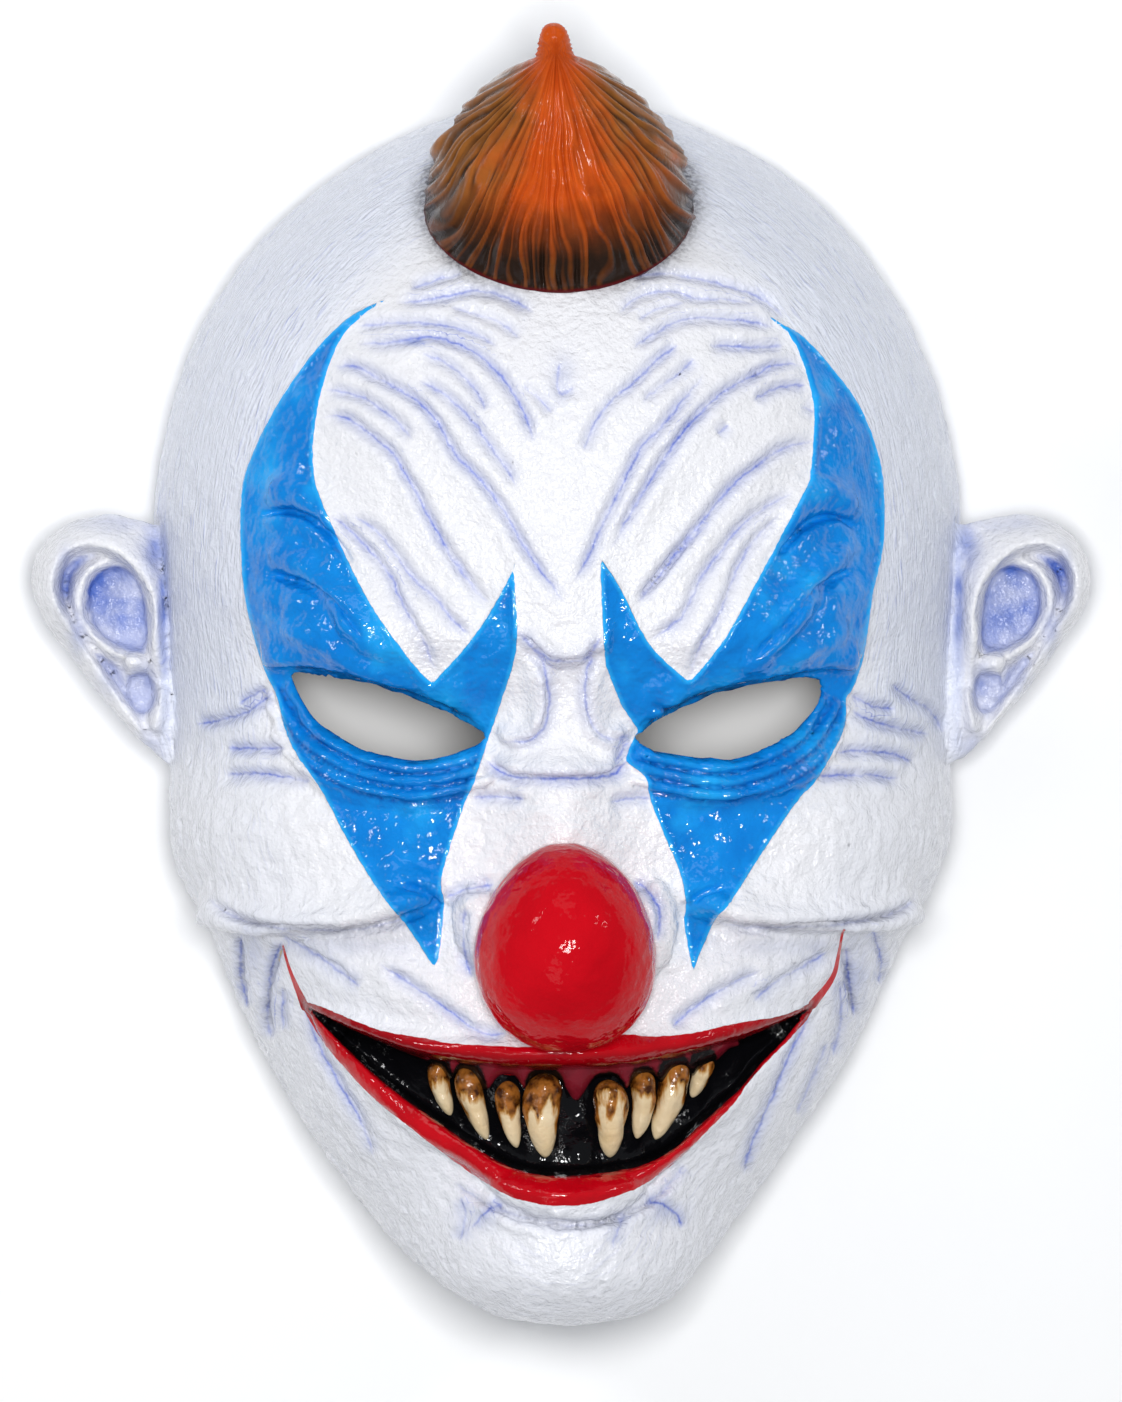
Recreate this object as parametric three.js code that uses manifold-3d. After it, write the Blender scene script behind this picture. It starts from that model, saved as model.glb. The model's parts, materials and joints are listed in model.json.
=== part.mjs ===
// A grinning clown mask, one casting of latex: a hollow shell of face and crown, open at the back, lying
// face up on its flat rim. X runs across the face, Y from chin to crown and Z out of the face, from the rim.
import * as THREE from 'three';
import { mergeVertices } from 'three/addons/utils/BufferGeometryUtils.js';
import Module from 'manifold-3d';

const wasm = await Module();
wasm.setup();

// Driving sizes in millimetres
const WALL = 3.6;
const MOUTH_DEPTH = 15;
const WHITE = 0xeeeef2;

// The head from crown to chin, one row for each level: height, half width, middle of the width,
// depth of the widest line, depth of the front, squareness of the level's section
const LEVELS = [
  [131, 0, 0, 24, 24, 2.2],
  [129.5, 11, 0, 23, 46, 2.2],
  [127.5, 20, 0, 22, 55, 2.2],
  [122.7, 32.8, 0, 20, 66, 2.2],
  [116, 45.4, 0, 18, 76, 2.2],
  [109, 55.2, -0.1, 17, 85, 2.2],
  [100, 65, -0.7, 16, 94.5, 2.25],
  [90, 73, -1, 16, 103, 2.3],
  [76, 81.2, -1.1, 16, 112, 2.35],
  [58, 87.4, -0.9, 16, 119, 2.35],
  [38, 90.8, -0.8, 16, 122, 2.3],
  [18, 90.4, -0.8, 16, 121, 2.3],
  [-4, 88.8, -0.5, 16, 115, 2.3],
  [-24, 86.4, -0.2, 16, 113, 2.3],
  [-44, 81.6, -0.4, 17, 114, 2.25],
  [-60, 76.8, -0.5, 19, 115, 2.2],
  [-75, 71, -0.8, 23, 116, 2.15],
  [-88, 64.2, -1.1, 29, 117, 2.1],
  [-100, 56.6, -1.5, 36, 117, 2.05],
  [-112, 48.2, -1.5, 44, 116, 2],
  [-123, 40, -1.2, 53, 115, 2],
  [-132, 31.8, -0.5, 62, 112, 2],
  [-139, 23.2, 0.8, 71, 107.5, 2],
  [-143.2, 15, 1.2, 79, 101.5, 2],
  [-145.1, 7, 1, 84, 94.5, 2],
  [-145.4, 0, 1, 87, 87, 2],
];

// Broad forms of the face, which the inside of the shell follows too: centre, radii, height, turn in degrees
const FORMS = [
  { at: [0, 14], radii: [14, 13], height: 4 },
  { at: [-40, 12], radii: [26, 8], height: 6, turn: -12 },
  { at: [41, 12], radii: [26, 8], height: 6, turn: 12 },
  { at: [-38, -9], radii: [20, 7], height: -9, turn: -8 },
  { at: [38, -9], radii: [20, 7], height: -9, turn: 8 },
  { at: [0, -36], radii: [11, 26], height: 9 },
  { at: [-60, -36], radii: [27, 17], height: 8, turn: -10 },
  { at: [59, -36], radii: [27, 17], height: 8, turn: 10 },
  { at: [-44, -66], radii: [22, 9], height: 3, turn: -20 },
  { at: [44, -66], radii: [22, 9], height: 3, turn: 20 },
  { at: [-22, -112], radii: [22, 14], height: -4, turn: 20 },
  { at: [24, -112], radii: [22, 14], height: -4, turn: -20 },
  { at: [2, -133], radii: [26, 9], height: 6 },
];

// Rounded lobes with a clean edge: centre, radii, height, turn in degrees
const LOBES = [
  { at: [-9, -6], radii: [7.5, 10], height: 6 },
  { at: [10.8, -6], radii: [7.2, 10], height: 6 },
  { at: [0.5, -17.8], radii: [15, 4.8], height: 4 },
  { at: [0.5, 14], radii: [12, 12], height: 2.5 },
  { at: [-18, -56], radii: [6.5, 10.5], height: 7 },
  { at: [20, -56], radii: [6.5, 10.5], height: 7 },
  { at: [1, -118], radii: [21, 7.5], height: 2.5 },
];

// Folds, rolls and ledges of the skin, each along a path: a fold is a groove between two swellings, a roll
// is a ridge, and a ledge stands up on the left of its path and drops to a lower shoulder on the right
const LINES = [
  // cheeks over the smile, brows over the eyes, and the bags under the eyes
  {
    kind: 'ledge',
    width: 9,
    height: 4.5,
    path: [[-78, -52], [-70, -55.5], [-60, -57], [-46, -57], [-35, -54], [-24, -49]],
  },
  {
    kind: 'ledge',
    width: 9,
    height: 4.5,
    path: [[24, -50], [35, -55], [47, -56.8], [61, -56], [70, -55], [77, -52]],
  },
  { kind: 'ledge', width: 8, height: 4.5, path: [[-64, 4], [-54, 3], [-42, 0], [-30, -4], [-16, -12]] },
  { kind: 'ledge', width: 8, height: 4.5, path: [[17, -12], [30, -4.5], [42, 0], [54, 2.5], [64, 4]] },
  {
    kind: 'roll',
    width: 2.4,
    height: 2.6,
    path: [[-61, -6], [-54, -16], [-44, -21.5], [-33, -23], [-20, -20]],
  },
  {
    kind: 'roll',
    width: 2.4,
    height: 2.6,
    path: [[17, -20], [33, -23], [44, -21.5], [54, -15.5], [61, -6]],
  },
  { kind: 'ledge', width: 5, height: 2, path: [[-60, -17], [-50, -26.5], [-35, -29], [-22, -27]] },
  { kind: 'ledge', width: 5, height: 2, path: [[21, -27], [34, -28.5], [45, -27], [58, -19]] },
  // lips, the crease under the lower lip, and the folds from the nose and the smile
  {
    kind: 'roll',
    width: 2.2,
    height: 2.4,
    path: [
      [-58, -73.5], [-45, -78.5], [-30, -82.5], [-12, -84], [4, -84], [18, -83], [32, -80.5], [57, -74],
    ],
  },
  {
    kind: 'roll',
    width: 3.2,
    height: 4.4,
    path: [
      [-57, -76], [-35, -97.5], [-22, -107.5], [-9, -114.5], [3, -116], [16, -113], [29, -103.5], [56, -76],
    ],
  },
  {
    kind: 'fold',
    width: 2.4,
    height: 2.2,
    path: [[-24, -112.5], [-12, -118.8], [2, -123], [16, -120.5], [31, -109]],
  },
  { kind: 'fold', width: 2.6, height: 2, path: [[-63, -58], [-53, -64.5], [-42, -72], [-34, -79]] },
  { kind: 'fold', width: 2.6, height: 2, path: [[63, -58], [50, -67], [40, -74], [32, -78]] },
  { kind: 'fold', width: 2.4, height: 2, path: [[-58, -75], [-53, -88], [-46, -100], [-41, -110]] },
  { kind: 'fold', width: 2.4, height: 2, path: [[57, -75], [51, -88], [46, -99], [41, -111]] },
  // the scowl lines over the brows and the wrinkles that fan out from the root of the nose
  { kind: 'fold', width: 2.8, height: 2.2, path: [[-54, 37], [-45, 31], [-38, 22], [-33, 12], [-28, 1]] },
  { kind: 'fold', width: 2.8, height: 2.2, path: [[55, 40], [44, 31], [37, 18], [29, 0]] },
  { kind: 'fold', width: 2.8, height: 2, path: [[57, 52], [45, 47.5], [33, 36], [24, 25], [16, 16]] },
  { kind: 'fold', width: 2.8, height: 2, path: [[-54, 58], [-44, 55], [-35, 45], [-28, 32], [-17, 17]] },
  {
    kind: 'fold',
    width: 2.8,
    height: 2,
    path: [[-51, 69], [-40, 66], [-27, 54], [-14, 38], [-5, 23], [1, 14]],
  },
  { kind: 'fold', width: 2.8, height: 2, path: [[54, 69.5], [42, 66.5], [30, 57], [20, 43], [10, 27]] },
  { kind: 'fold', width: 2.8, height: 2, path: [[-46, 74], [-30, 75.5], [-17, 71], [-7, 54]] },
  { kind: 'fold', width: 2.8, height: 2, path: [[51, 74], [36, 74], [24, 73], [12, 61], [5, 49]] },
];

const EYE_HOLE = [
  [16.8, -13], [22, -9.8], [29, -6.4], [37, -3.4], [46, -1.2], [54.5, 0], [58.6, -1.5],
  [57.8, -5], [54, -11], [47, -15.6], [40, -18.2], [33, -19], [25, -18], [19, -15.6],
];
const MOUTH = [
  [-57.5, -74.5], [-50, -77.6], [-40, -81], [-30, -84], [-15, -86], [3, -86.3], [20, -84.8], [32, -82.8],
  [44, -79.4], [55.5, -75.2], [50, -82], [41, -91.5], [31, -101], [23, -107.5], [13, -111.3], [2, -112.3],
  [-9, -111.2], [-20, -105.5], [-33, -96.4], [-46, -85.8],
];

const NOSE = { centre: [1, -61, 128], radii: [20.3, 23.4, 24], taper: 0.12 };
const TUFT = {
  foot: [-0.5, 105, 83],
  tilt: 46,
  lean: -1.2,
  locks: 16,
  lockDepth: 0.9,
  profile: [
    [0, -8], [26.5, -8], [29.6, -1], [29.8, 4], [28.1, 11], [22.6, 22.5], [17.2, 29.8], [12.9, 35],
    [8.8, 39.4], [5.6, 43.4], [4, 47.4], [3.4, 51.6], [2.5, 54.6], [0, 56],
  ],
};
// The ear's outline on the right of the face, from the top of its root round the rim to the lobe
const EAR = {
  centre: [100, 12],
  depth: 38,
  thickness: 4.5,
  outline: [[85, 32], [91.5, 34], [98, 35.6], [104.5, 36], [111, 34.2], [116, 30.5], [119, 25], [119.3, 19],
    [116.5, 12.5], [111.5, 5.5], [105.5, -2.5], [98.5, -10.5], [93, -16.5], [87.5, -20], [84, -15], [84, 6]],
  lines: [
    {
      kind: 'roll',
      width: 3.2,
      height: 5.5,
      path: [
        [90, -1], [90.5, 10], [91.5, 22], [96, 30], [104, 32.8], [111, 31], [115.5, 26], [116.5, 19],
        [112, 10], [104, 0], [97, -8], [92, -13],
      ],
    },
    {
      kind: 'roll',
      width: 2.6,
      height: 4,
      path: [[99, 27.5], [106, 26.5], [110.5, 21], [110.5, 13], [105.5, 7], [98, 3], [96.5, -4]],
    },
    { kind: 'roll', width: 2.6, height: 4.5, path: [[89, -2], [91, -6], [92, -11]] },
  ],
  bowls: [
    { at: [101, 15], radii: [8, 9.5], height: -5 },
    { at: [94.5, -5], radii: [3.4, 5.5], height: -4 },
  ],
};
// Teeth in the upper jaw: root, tip and width
const TEETH = [
  { root: [-28, -86.5], tip: [-24.8, -98.4], width: 5 },
  { root: [-21.5, -87.5], tip: [-16.8, -103.7], width: 6.4 },
  { root: [-12.2, -90], tip: [-9.9, -105.6], width: 5.2 },
  { root: [-3.7, -89.5], tip: [-3.5, -107.8], width: 8.6 },
  { root: [10.3, -90.5], tip: [11, -107.8], width: 7.8 },
  { root: [18.8, -88.5], tip: [17.2, -103.8], width: 5.6 },
  { root: [26.4, -86], tip: [21.4, -104], width: 7 },
  { root: [32.4, -85], tip: [29.6, -94.4], width: 4.8 },
];
const GUM = { radius: 3, rise: 5, path: [[-32, -85.5], [-18, -87], [3, -88], [20, -87], [37, -83.5]] };

// A smooth curve through rows of numbers, at t rows from the first
function along(rows, t) {
  const last = rows.length - 1;
  const i = Math.min(Math.max(Math.floor(t), 0), last - 1);
  const s = t - i;
  const [p, a, b, n] = [i - 1, i, i + 1, i + 2].map((k) => rows[Math.min(Math.max(k, 0), last)]);
  return a.map((from, k) => {
    const to = b[k];
    const leave = i > 0 ? (to - p[k]) / 2 : to - from;
    const arrive = i + 1 < last ? (n[k] - from) / 2 : to - from;
    const bend = (leave - (to - from)) * (1 - s) + ((to - from) - arrive) * s;
    return from + (to - from) * s + s * (1 - s) * bend;
  });
}

// The level of the head at a height, found by halving
function levelAt(y) {
  let [high, low] = [0, LEVELS.length - 1];
  for (let step = 0; step < 24; step++) {
    const middle = (high + low) / 2;
    if (along(LEVELS, middle)[0] > y) high = middle;
    else low = middle;
  }
  return along(LEVELS, (high + low) / 2);
}

// Depth of the plain face at a point of the front view
function faceDepth(x, y) {
  const [, half, centre, middle, front, square] = levelAt(y);
  const across = Math.min(1, Math.abs((x - centre) / half));
  return middle + (front - middle) * (1 - across ** square) ** (1 / square);
}

function smooth(points, closed = false, steps = 4) {
  const curve = new THREE.CatmullRomCurve3(points.map(([x, y, z = 0]) => new THREE.Vector3(x, y, z)), closed);
  return curve.getSpacedPoints(points.length * steps);
}

// How far a point is from a path, signed by its side, and how far along the path it is, from 0 to 1
function nearest(path, x, y) {
  let best = { distance: Infinity, side: 1, share: 0 };
  for (let i = 0; i + 1 < path.length; i++) {
    const [a, b] = [path[i], path[i + 1]];
    const [dx, dy] = [b.x - a.x, b.y - a.y];
    const t = Math.min(1, Math.max(0, ((x - a.x) * dx + (y - a.y) * dy) / (dx * dx + dy * dy)));
    const distance = Math.hypot(x - a.x - t * dx, y - a.y - t * dy);
    if (distance < best.distance) {
      const side = Math.sign(dx * (y - a.y) - dy * (x - a.x)) || 1;
      best = { distance, side, share: (i + t) / (path.length - 1) };
    }
  }
  return best;
}

function lineHeight(line, x, y) {
  line.route ??= smooth(line.path);
  line.box ??= new THREE.Box3().setFromPoints(line.route).expandByScalar(line.width * 2.6);
  if (x < line.box.min.x || x > line.box.max.x || y < line.box.min.y || y > line.box.max.y) return 0;
  const { distance, side, share } = nearest(line.route, x, y);
  const q = (distance / line.width) ** 2;
  const fade = line.height * Math.min(1, share / 0.15, (1 - share) / 0.15);
  if (line.kind === 'fold') return -fade * (1 - 1.1 * q) * Math.exp(-q);
  if (line.kind === 'ledge') return fade * (0.65 + 0.35 * Math.tanh(side * distance / 1.2)) * Math.exp(-q);
  return fade * Math.exp(-q);
}

function reach({ at, radii, turn = 0 }, x, y) {
  const angle = THREE.MathUtils.degToRad(turn);
  const [dx, dy] = [x - at[0], y - at[1]];
  const across = dx * Math.cos(angle) + dy * Math.sin(angle);
  const up = dy * Math.cos(angle) - dx * Math.sin(angle);
  return (across / radii[0]) ** 2 + (up / radii[1]) ** 2;
}

const mound = (form, x, y) => form.height * Math.exp(-reach(form, x, y));
const mounds = (list, x, y) => list.reduce((sum, form) => sum + mound(form, x, y), 0);
const dome = (form, x, y) => form.height * Math.sqrt(Math.max(0, 1 - reach(form, x, y)));
const lobes = (list, x, y) => Math.max(0, ...list.map((form) => dome(form, x, y)));
const lines = (list, x, y) => list.reduce((sum, line) => sum + lineHeight(line, x, y), 0);

// The head's skin in a direction from its middle, moved out by an amount
function headPoint(direction) {
  const t = (0.5 - Math.asin(THREE.MathUtils.clamp(direction.y, -1, 1)) / Math.PI) * (LEVELS.length - 1);
  const [y, half, centre, middle, front, square] = along(LEVELS, t);
  const turn = Math.atan2(direction.z, direction.x);
  const across = Math.abs(Math.cos(turn)) / Math.max(half, 1e-6);
  const out = Math.abs(Math.sin(turn)) / Math.max(front - middle, 1e-6);
  const radius = (across ** square + out ** square) ** (-1 / square);
  return new THREE.Vector3(centre + radius * Math.cos(turn), y, middle + radius * Math.sin(turn));
}

function headNormal(direction) {
  const side = new THREE.Vector3(0, 1, 0).cross(direction).normalize();
  if (side.lengthSq() < 0.5) return new THREE.Vector3(0, Math.sign(direction.y), 0);
  const up = direction.clone().cross(side).normalize();
  const moved = (axis, by) => headPoint(direction.clone().addScaledVector(axis, by).normalize());
  const tangents = [side, up].map((axis) => moved(axis, 0.01).sub(moved(axis, -0.01)));
  return tangents[0].cross(tangents[1]).normalize();
}

function skin(offset, detailed) {
  return (direction) => {
    const base = headPoint(direction);
    const middle = levelAt(base.y)[3];
    const facing = THREE.MathUtils.smoothstep(base.z, middle - 4, middle + 22);
    let rise = facing > 0 ? mounds(FORMS, base.x, base.y) : 0;
    if (detailed && facing > 0) rise += lobes(LOBES, base.x, base.y) + lines(LINES, base.x, base.y);
    return base.addScaledVector(headNormal(direction), offset + rise * facing);
  };
}

// A closed surface given by directions from its middle, with its longest edges halved until the flat facets
// lie within a tolerance of the true surface
function faceted(surface, tolerance, seed, rounds = 7) {
  const ball = seed.clone();
  ball.deleteAttribute('normal');
  ball.deleteAttribute('uv');
  const merged = mergeVertices(ball, 1e-4);
  const position = merged.attributes.position;
  const directions = Array.from({ length: position.count }, (_, i) => (
    new THREE.Vector3().fromBufferAttribute(position, i).normalize()));
  const points = directions.map(surface);
  let triangles = [];
  for (let i = 0; i < merged.index.count; i += 3) {
    triangles.push([0, 1, 2].map((k) => merged.index.getX(i + k)));
  }
  triangles = triangles.filter(([a, b, c]) => a !== b && b !== c && c !== a);
  const key = (a, b) => (a < b ? `${a},${b}` : `${b},${a}`);
  const length = (a, b) => points[a].distanceTo(points[b]);
  const strayed = new Map();
  const strays = (a, b) => {
    if (!strayed.has(key(a, b))) {
      const off = [0.25, 0.5, 0.75].map((s) => {
        const between = directions[a].clone().lerp(directions[b], s).normalize();
        const exact = surface(between);
        const chord = new THREE.Line3(points[a], points[b]);
        return chord.closestPointToPoint(exact, true, new THREE.Vector3()).distanceTo(exact);
      });
      strayed.set(key(a, b), Math.max(...off) > tolerance);
    }
    return strayed.get(key(a, b));
  };
  for (let round = 0; round < rounds; round++) {
    // each triangle is turned so that its longest edge comes first
    triangles = triangles.map(([a, b, c]) => {
      const longest = Math.max(length(a, b), length(b, c), length(c, a));
      if (longest === length(a, b)) return [a, b, c];
      return longest === length(b, c) ? [b, c, a] : [c, a, b];
    });
    const halves = new Map();
    const halve = (a, b) => {
      if (halves.has(key(a, b))) return;
      const direction = directions[a].clone().add(directions[b]).normalize();
      halves.set(key(a, b), directions.push(direction) - 1);
      points.push(surface(direction));
    };
    for (const [a, b, c] of triangles) {
      for (const [p, q] of [[a, b], [b, c], [c, a]]) {
        if (strays(p, q)) halve(p, q);
      }
    }
    if (halves.size === 0) break;
    for (let before = -1; before !== halves.size;) {
      before = halves.size;
      triangles.forEach(([a, b, c]) => {
        if (halves.has(key(b, c)) || halves.has(key(c, a))) halve(a, b);
      });
    }
    triangles = triangles.flatMap(([a, b, c]) => {
      const [m, n, o] = [halves.get(key(a, b)), halves.get(key(b, c)), halves.get(key(c, a))];
      if (m === undefined) return [[a, b, c]];
      const near = o === undefined ? [[a, m, c]] : [[a, m, o], [o, m, c]];
      const far = n === undefined ? [[m, b, c]] : [[m, b, n], [m, n, c]];
      return [...near, ...far];
    });
  }
  return solid(points, triangles);
}

function solid(points, triangles) {
  const vertProperties = new Float32Array(points.flatMap((p) => [p.x, p.y, p.z]));
  const triVerts = new Uint32Array(triangles.flat());
  return new wasm.Manifold(new wasm.Mesh({ numProp: 3, vertProperties, triVerts }));
}

function solidOf(geometry) {
  const plain = geometry.clone();
  plain.deleteAttribute('normal');
  plain.deleteAttribute('uv');
  const merged = mergeVertices(plain, 1e-4);
  return new wasm.Manifold(new wasm.Mesh({
    numProp: 3,
    vertProperties: new Float32Array(merged.attributes.position.array),
    triVerts: new Uint32Array(merged.index.array),
  }));
}

// A straight prism along Z on a closed outline
function prism(outline, from, to, grow = 0, mirror = 1) {
  const points = smooth(outline.map(([x, y]) => [x * mirror, y]), true, 2).slice(0, -1);
  const area = THREE.ShapeUtils.area(points);
  const grown = points.map((point, i) => {
    const before = points[(i + points.length - 1) % points.length];
    const after = points[(i + 1) % points.length];
    const run = after.clone().sub(before).normalize().multiplyScalar(grow * Math.sign(area));
    return new THREE.Vector2(point.x + run.y, point.y - run.x);
  });
  const height = to - from;
  const geometry = new THREE.ExtrudeGeometry(new THREE.Shape(grown), { depth: height, bevelEnabled: false });
  geometry.translate(0, 0, from);
  return solidOf(geometry);
}

function nosePoint(shrink) {
  return (direction) => {
    const [rx, ry, rz] = NOSE.radii.map((radius) => radius - shrink);
    const pinch = 1 - NOSE.taper * direction.y;
    const deep = direction.z < 0 ? rz + shrink * 4 : rz;
    const local = new THREE.Vector3(rx * direction.x * pinch, ry * direction.y, deep * direction.z);
    return local.add(new THREE.Vector3(...NOSE.centre));
  };
}

// The tuft leans back from the crown and a little to the left; its locks run up from the foot to the tip
function tuftPoint(shrink) {
  const turn = new THREE.Matrix4().makeRotationX(-THREE.MathUtils.degToRad(TUFT.tilt));
  return (direction) => {
    const share = 0.5 + Math.asin(THREE.MathUtils.clamp(direction.z, -1, 1)) / Math.PI;
    const [radius, height] = along(TUFT.profile, share * (TUFT.profile.length - 1));
    const around = Math.atan2(direction.y, direction.x);
    const lock = shrink ? 0 : TUFT.lockDepth * Math.min(1, Math.max(radius - 4, 0) / 10);
    const r = Math.max(0, radius - shrink * Math.min(1, radius / 8) + lock * Math.cos(around * TUFT.locks));
    const leant = TUFT.lean * Math.max(0, height / 56) ** 2 + r * Math.cos(around);
    const local = new THREE.Vector3(leant, r * Math.sin(around), height - shrink * 1.6);
    return local.applyMatrix4(turn).add(new THREE.Vector3(...TUFT.foot));
  };
}

function earPoint(mirror) {
  const rim = smooth(EAR.outline, true);
  const [cx, cy] = EAR.centre;
  const start = Math.atan2(rim[0].y - cy, rim[0].x - cx);
  return (direction) => {
    const around = start - Math.atan2(direction.y, direction.x * mirror);
    const t = ((around / (2 * Math.PI) + 1) % 1) * (rim.length - 1);
    const [a, b] = [rim[Math.floor(t)], rim[Math.min(Math.floor(t) + 1, rim.length - 1)]];
    const edge = a.clone().lerp(b, t - Math.floor(t));
    const share = Math.hypot(direction.x, direction.y);
    const [x, y] = [cx + (edge.x - cx) * share, cy + (edge.y - cy) * share];
    const carved = lines(EAR.lines, x, y) + mounds(EAR.bowls, x, y);
    const relief = direction.z > 0 ? carved * Math.min(1, direction.z * 3) : 0;
    const face = EAR.thickness * direction.z + relief;
    return new THREE.Vector3(x * mirror, y, EAR.depth - (x - cx) * 0.15 + face);
  };
}

function toothPoint({ root, tip, width }) {
  const start = new THREE.Vector3(...root, faceDepth(...root) - MOUTH_DEPTH + width * 0.3);
  const end = new THREE.Vector3(...tip, faceDepth(...tip) - MOUTH_DEPTH + width * 0.3);
  const run = end.clone().sub(start);
  const side = new THREE.Vector3(run.y, -run.x, 0).normalize();
  return (direction) => {
    const share = (1 - direction.y) / 2;
    const radius = width / 2 * (1.06 - 0.42 * share);
    return start.clone().addScaledVector(run, share)
      .addScaledVector(side, -radius * direction.x)
      .add(new THREE.Vector3(0, 0, radius * direction.z));
  };
}

const ball = (around, up) => new THREE.SphereGeometry(1, around, up);
const upright = (around, up) => ball(around, up).rotateX(Math.PI / 2);
const join = (solids) => solids.reduce((whole, part) => whole.add(part));

const plainHead = faceted(headPoint, 1.2, ball(20, 14), 2);
const head = faceted(skin(0, true), 1, ball(28, 20));
const inside = faceted(skin(-WALL, false), 1.8, ball(16, 12), 4);
const ears = [1, -1].map((mirror) => faceted(earPoint(mirror), 0.9, upright(16, 6), 4));
const nose = faceted(nosePoint(0), 0.7, ball(14, 10));
const noseHollow = faceted(nosePoint(WALL), 1.2, ball(8, 6));
const tuft = faceted(tuftPoint(0), 2, upright(TUFT.locks * 2, TUFT.profile.length - 1), 0);
const tuftHollow = faceted(tuftPoint(WALL), 2, upright(12, TUFT.profile.length - 1), 0);

const mouthFloor = plainHead.translate([0, 0, -MOUTH_DEPTH]);
const mouthBack = plainHead.translate([0, 0, -MOUTH_DEPTH - WALL]);
const mouth = prism(MOUTH, 30, 180).subtract(mouthFloor);
const mouthWall = prism(MOUTH, 30, 180, WALL).subtract(mouthBack);
const eyeHoles = [1, -1].map((mirror) => prism(EYE_HOLE, 50, 180, 0, mirror));
const teeth = TEETH.map((tooth) => faceted(toothPoint(tooth), 1, ball(8, 5), 0));
const gumPath = new THREE.CatmullRomCurve3(GUM.path.map(([x, y]) => (
  new THREE.Vector3(x, y, faceDepth(x, y) - MOUTH_DEPTH + GUM.rise))));
const gumSection = new THREE.Shape().absarc(0, 0, GUM.radius, 0, 2 * Math.PI);
const gumTube = { extrudePath: gumPath, steps: 8, curveSegments: 3 };
const gum = solidOf(new THREE.ExtrudeGeometry(gumSection, gumTube));
const floor = solidOf(new THREE.BoxGeometry(600, 600, 200).translate(0, 0, -100));

const hollow = join([inside.subtract(mouthWall), noseHollow, tuftHollow]);
const shell = join([head, ...ears, nose, tuft]).subtract(join([hollow, mouth, ...eyeHoles]));
const casting = join([shell, gum, ...teeth]).subtract(floor);

function meshOf(body, name, material) {
  const { numProp, vertProperties, triVerts } = body.getMesh();
  const geometry = new THREE.BufferGeometry();
  const positions = new Float32Array(vertProperties.length / numProp * 3);
  for (let i = 0; i < positions.length / 3; i++) {
    positions.set(vertProperties.slice(i * numProp, i * numProp + 3), i * 3);
  }
  geometry.setAttribute('position', new THREE.BufferAttribute(positions, 3));
  geometry.setIndex(new THREE.BufferAttribute(triVerts, 1));
  geometry.computeVertexNormals();
  const mesh = new THREE.Mesh(geometry, material);
  mesh.name = name;
  return mesh;
}

const latex = new THREE.MeshStandardMaterial({ color: WHITE, roughness: 0.3, metalness: 0 });
const part = new THREE.Group();
part.add(meshOf(casting, 'mask', latex));

export default part;
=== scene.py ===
import json
import math

import bpy
import numpy as np
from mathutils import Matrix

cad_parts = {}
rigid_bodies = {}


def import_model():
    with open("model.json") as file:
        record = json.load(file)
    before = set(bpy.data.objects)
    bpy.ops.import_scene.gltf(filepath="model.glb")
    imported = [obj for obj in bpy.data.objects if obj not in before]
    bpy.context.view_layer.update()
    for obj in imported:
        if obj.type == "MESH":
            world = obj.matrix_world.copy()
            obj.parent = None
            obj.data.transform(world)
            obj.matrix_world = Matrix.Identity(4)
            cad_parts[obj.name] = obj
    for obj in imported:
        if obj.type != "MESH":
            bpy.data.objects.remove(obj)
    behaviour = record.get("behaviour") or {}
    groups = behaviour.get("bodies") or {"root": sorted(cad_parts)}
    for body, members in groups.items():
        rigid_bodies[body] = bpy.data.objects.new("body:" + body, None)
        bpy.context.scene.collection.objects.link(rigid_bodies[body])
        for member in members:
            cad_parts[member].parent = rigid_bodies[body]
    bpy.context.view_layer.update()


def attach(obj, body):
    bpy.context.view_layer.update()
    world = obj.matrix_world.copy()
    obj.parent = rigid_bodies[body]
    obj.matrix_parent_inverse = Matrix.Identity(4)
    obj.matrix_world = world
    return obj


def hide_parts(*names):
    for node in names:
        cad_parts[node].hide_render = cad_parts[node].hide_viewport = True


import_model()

# Floor, light and camera: the mask lies on its rim on a plain pale table. The camera hangs straight
# over the face, far enough away that the outline at the temples and the nose keep one scale.
bpy.ops.mesh.primitive_plane_add(size=8, location=(0, 0, 0))
floor = bpy.context.object
floor.name = "floor"
paper = bpy.data.materials.new("pale_floor")
paper.use_nodes = True
paper.node_tree.nodes["Principled BSDF"].inputs["Base Color"].default_value = (0.97, 0.97, 0.97, 1)
paper.node_tree.nodes["Principled BSDF"].inputs["Roughness"].default_value = 0.9
floor.data.materials.append(paper)

world = bpy.data.worlds.new("studio")
world.use_nodes = True
world.node_tree.nodes["Background"].inputs["Color"].default_value = (0.87, 0.93, 1, 1)
world.node_tree.nodes["Background"].inputs["Strength"].default_value = 0.21
bpy.context.scene.world = world
bpy.context.scene.view_settings.view_transform = "Standard"

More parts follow.
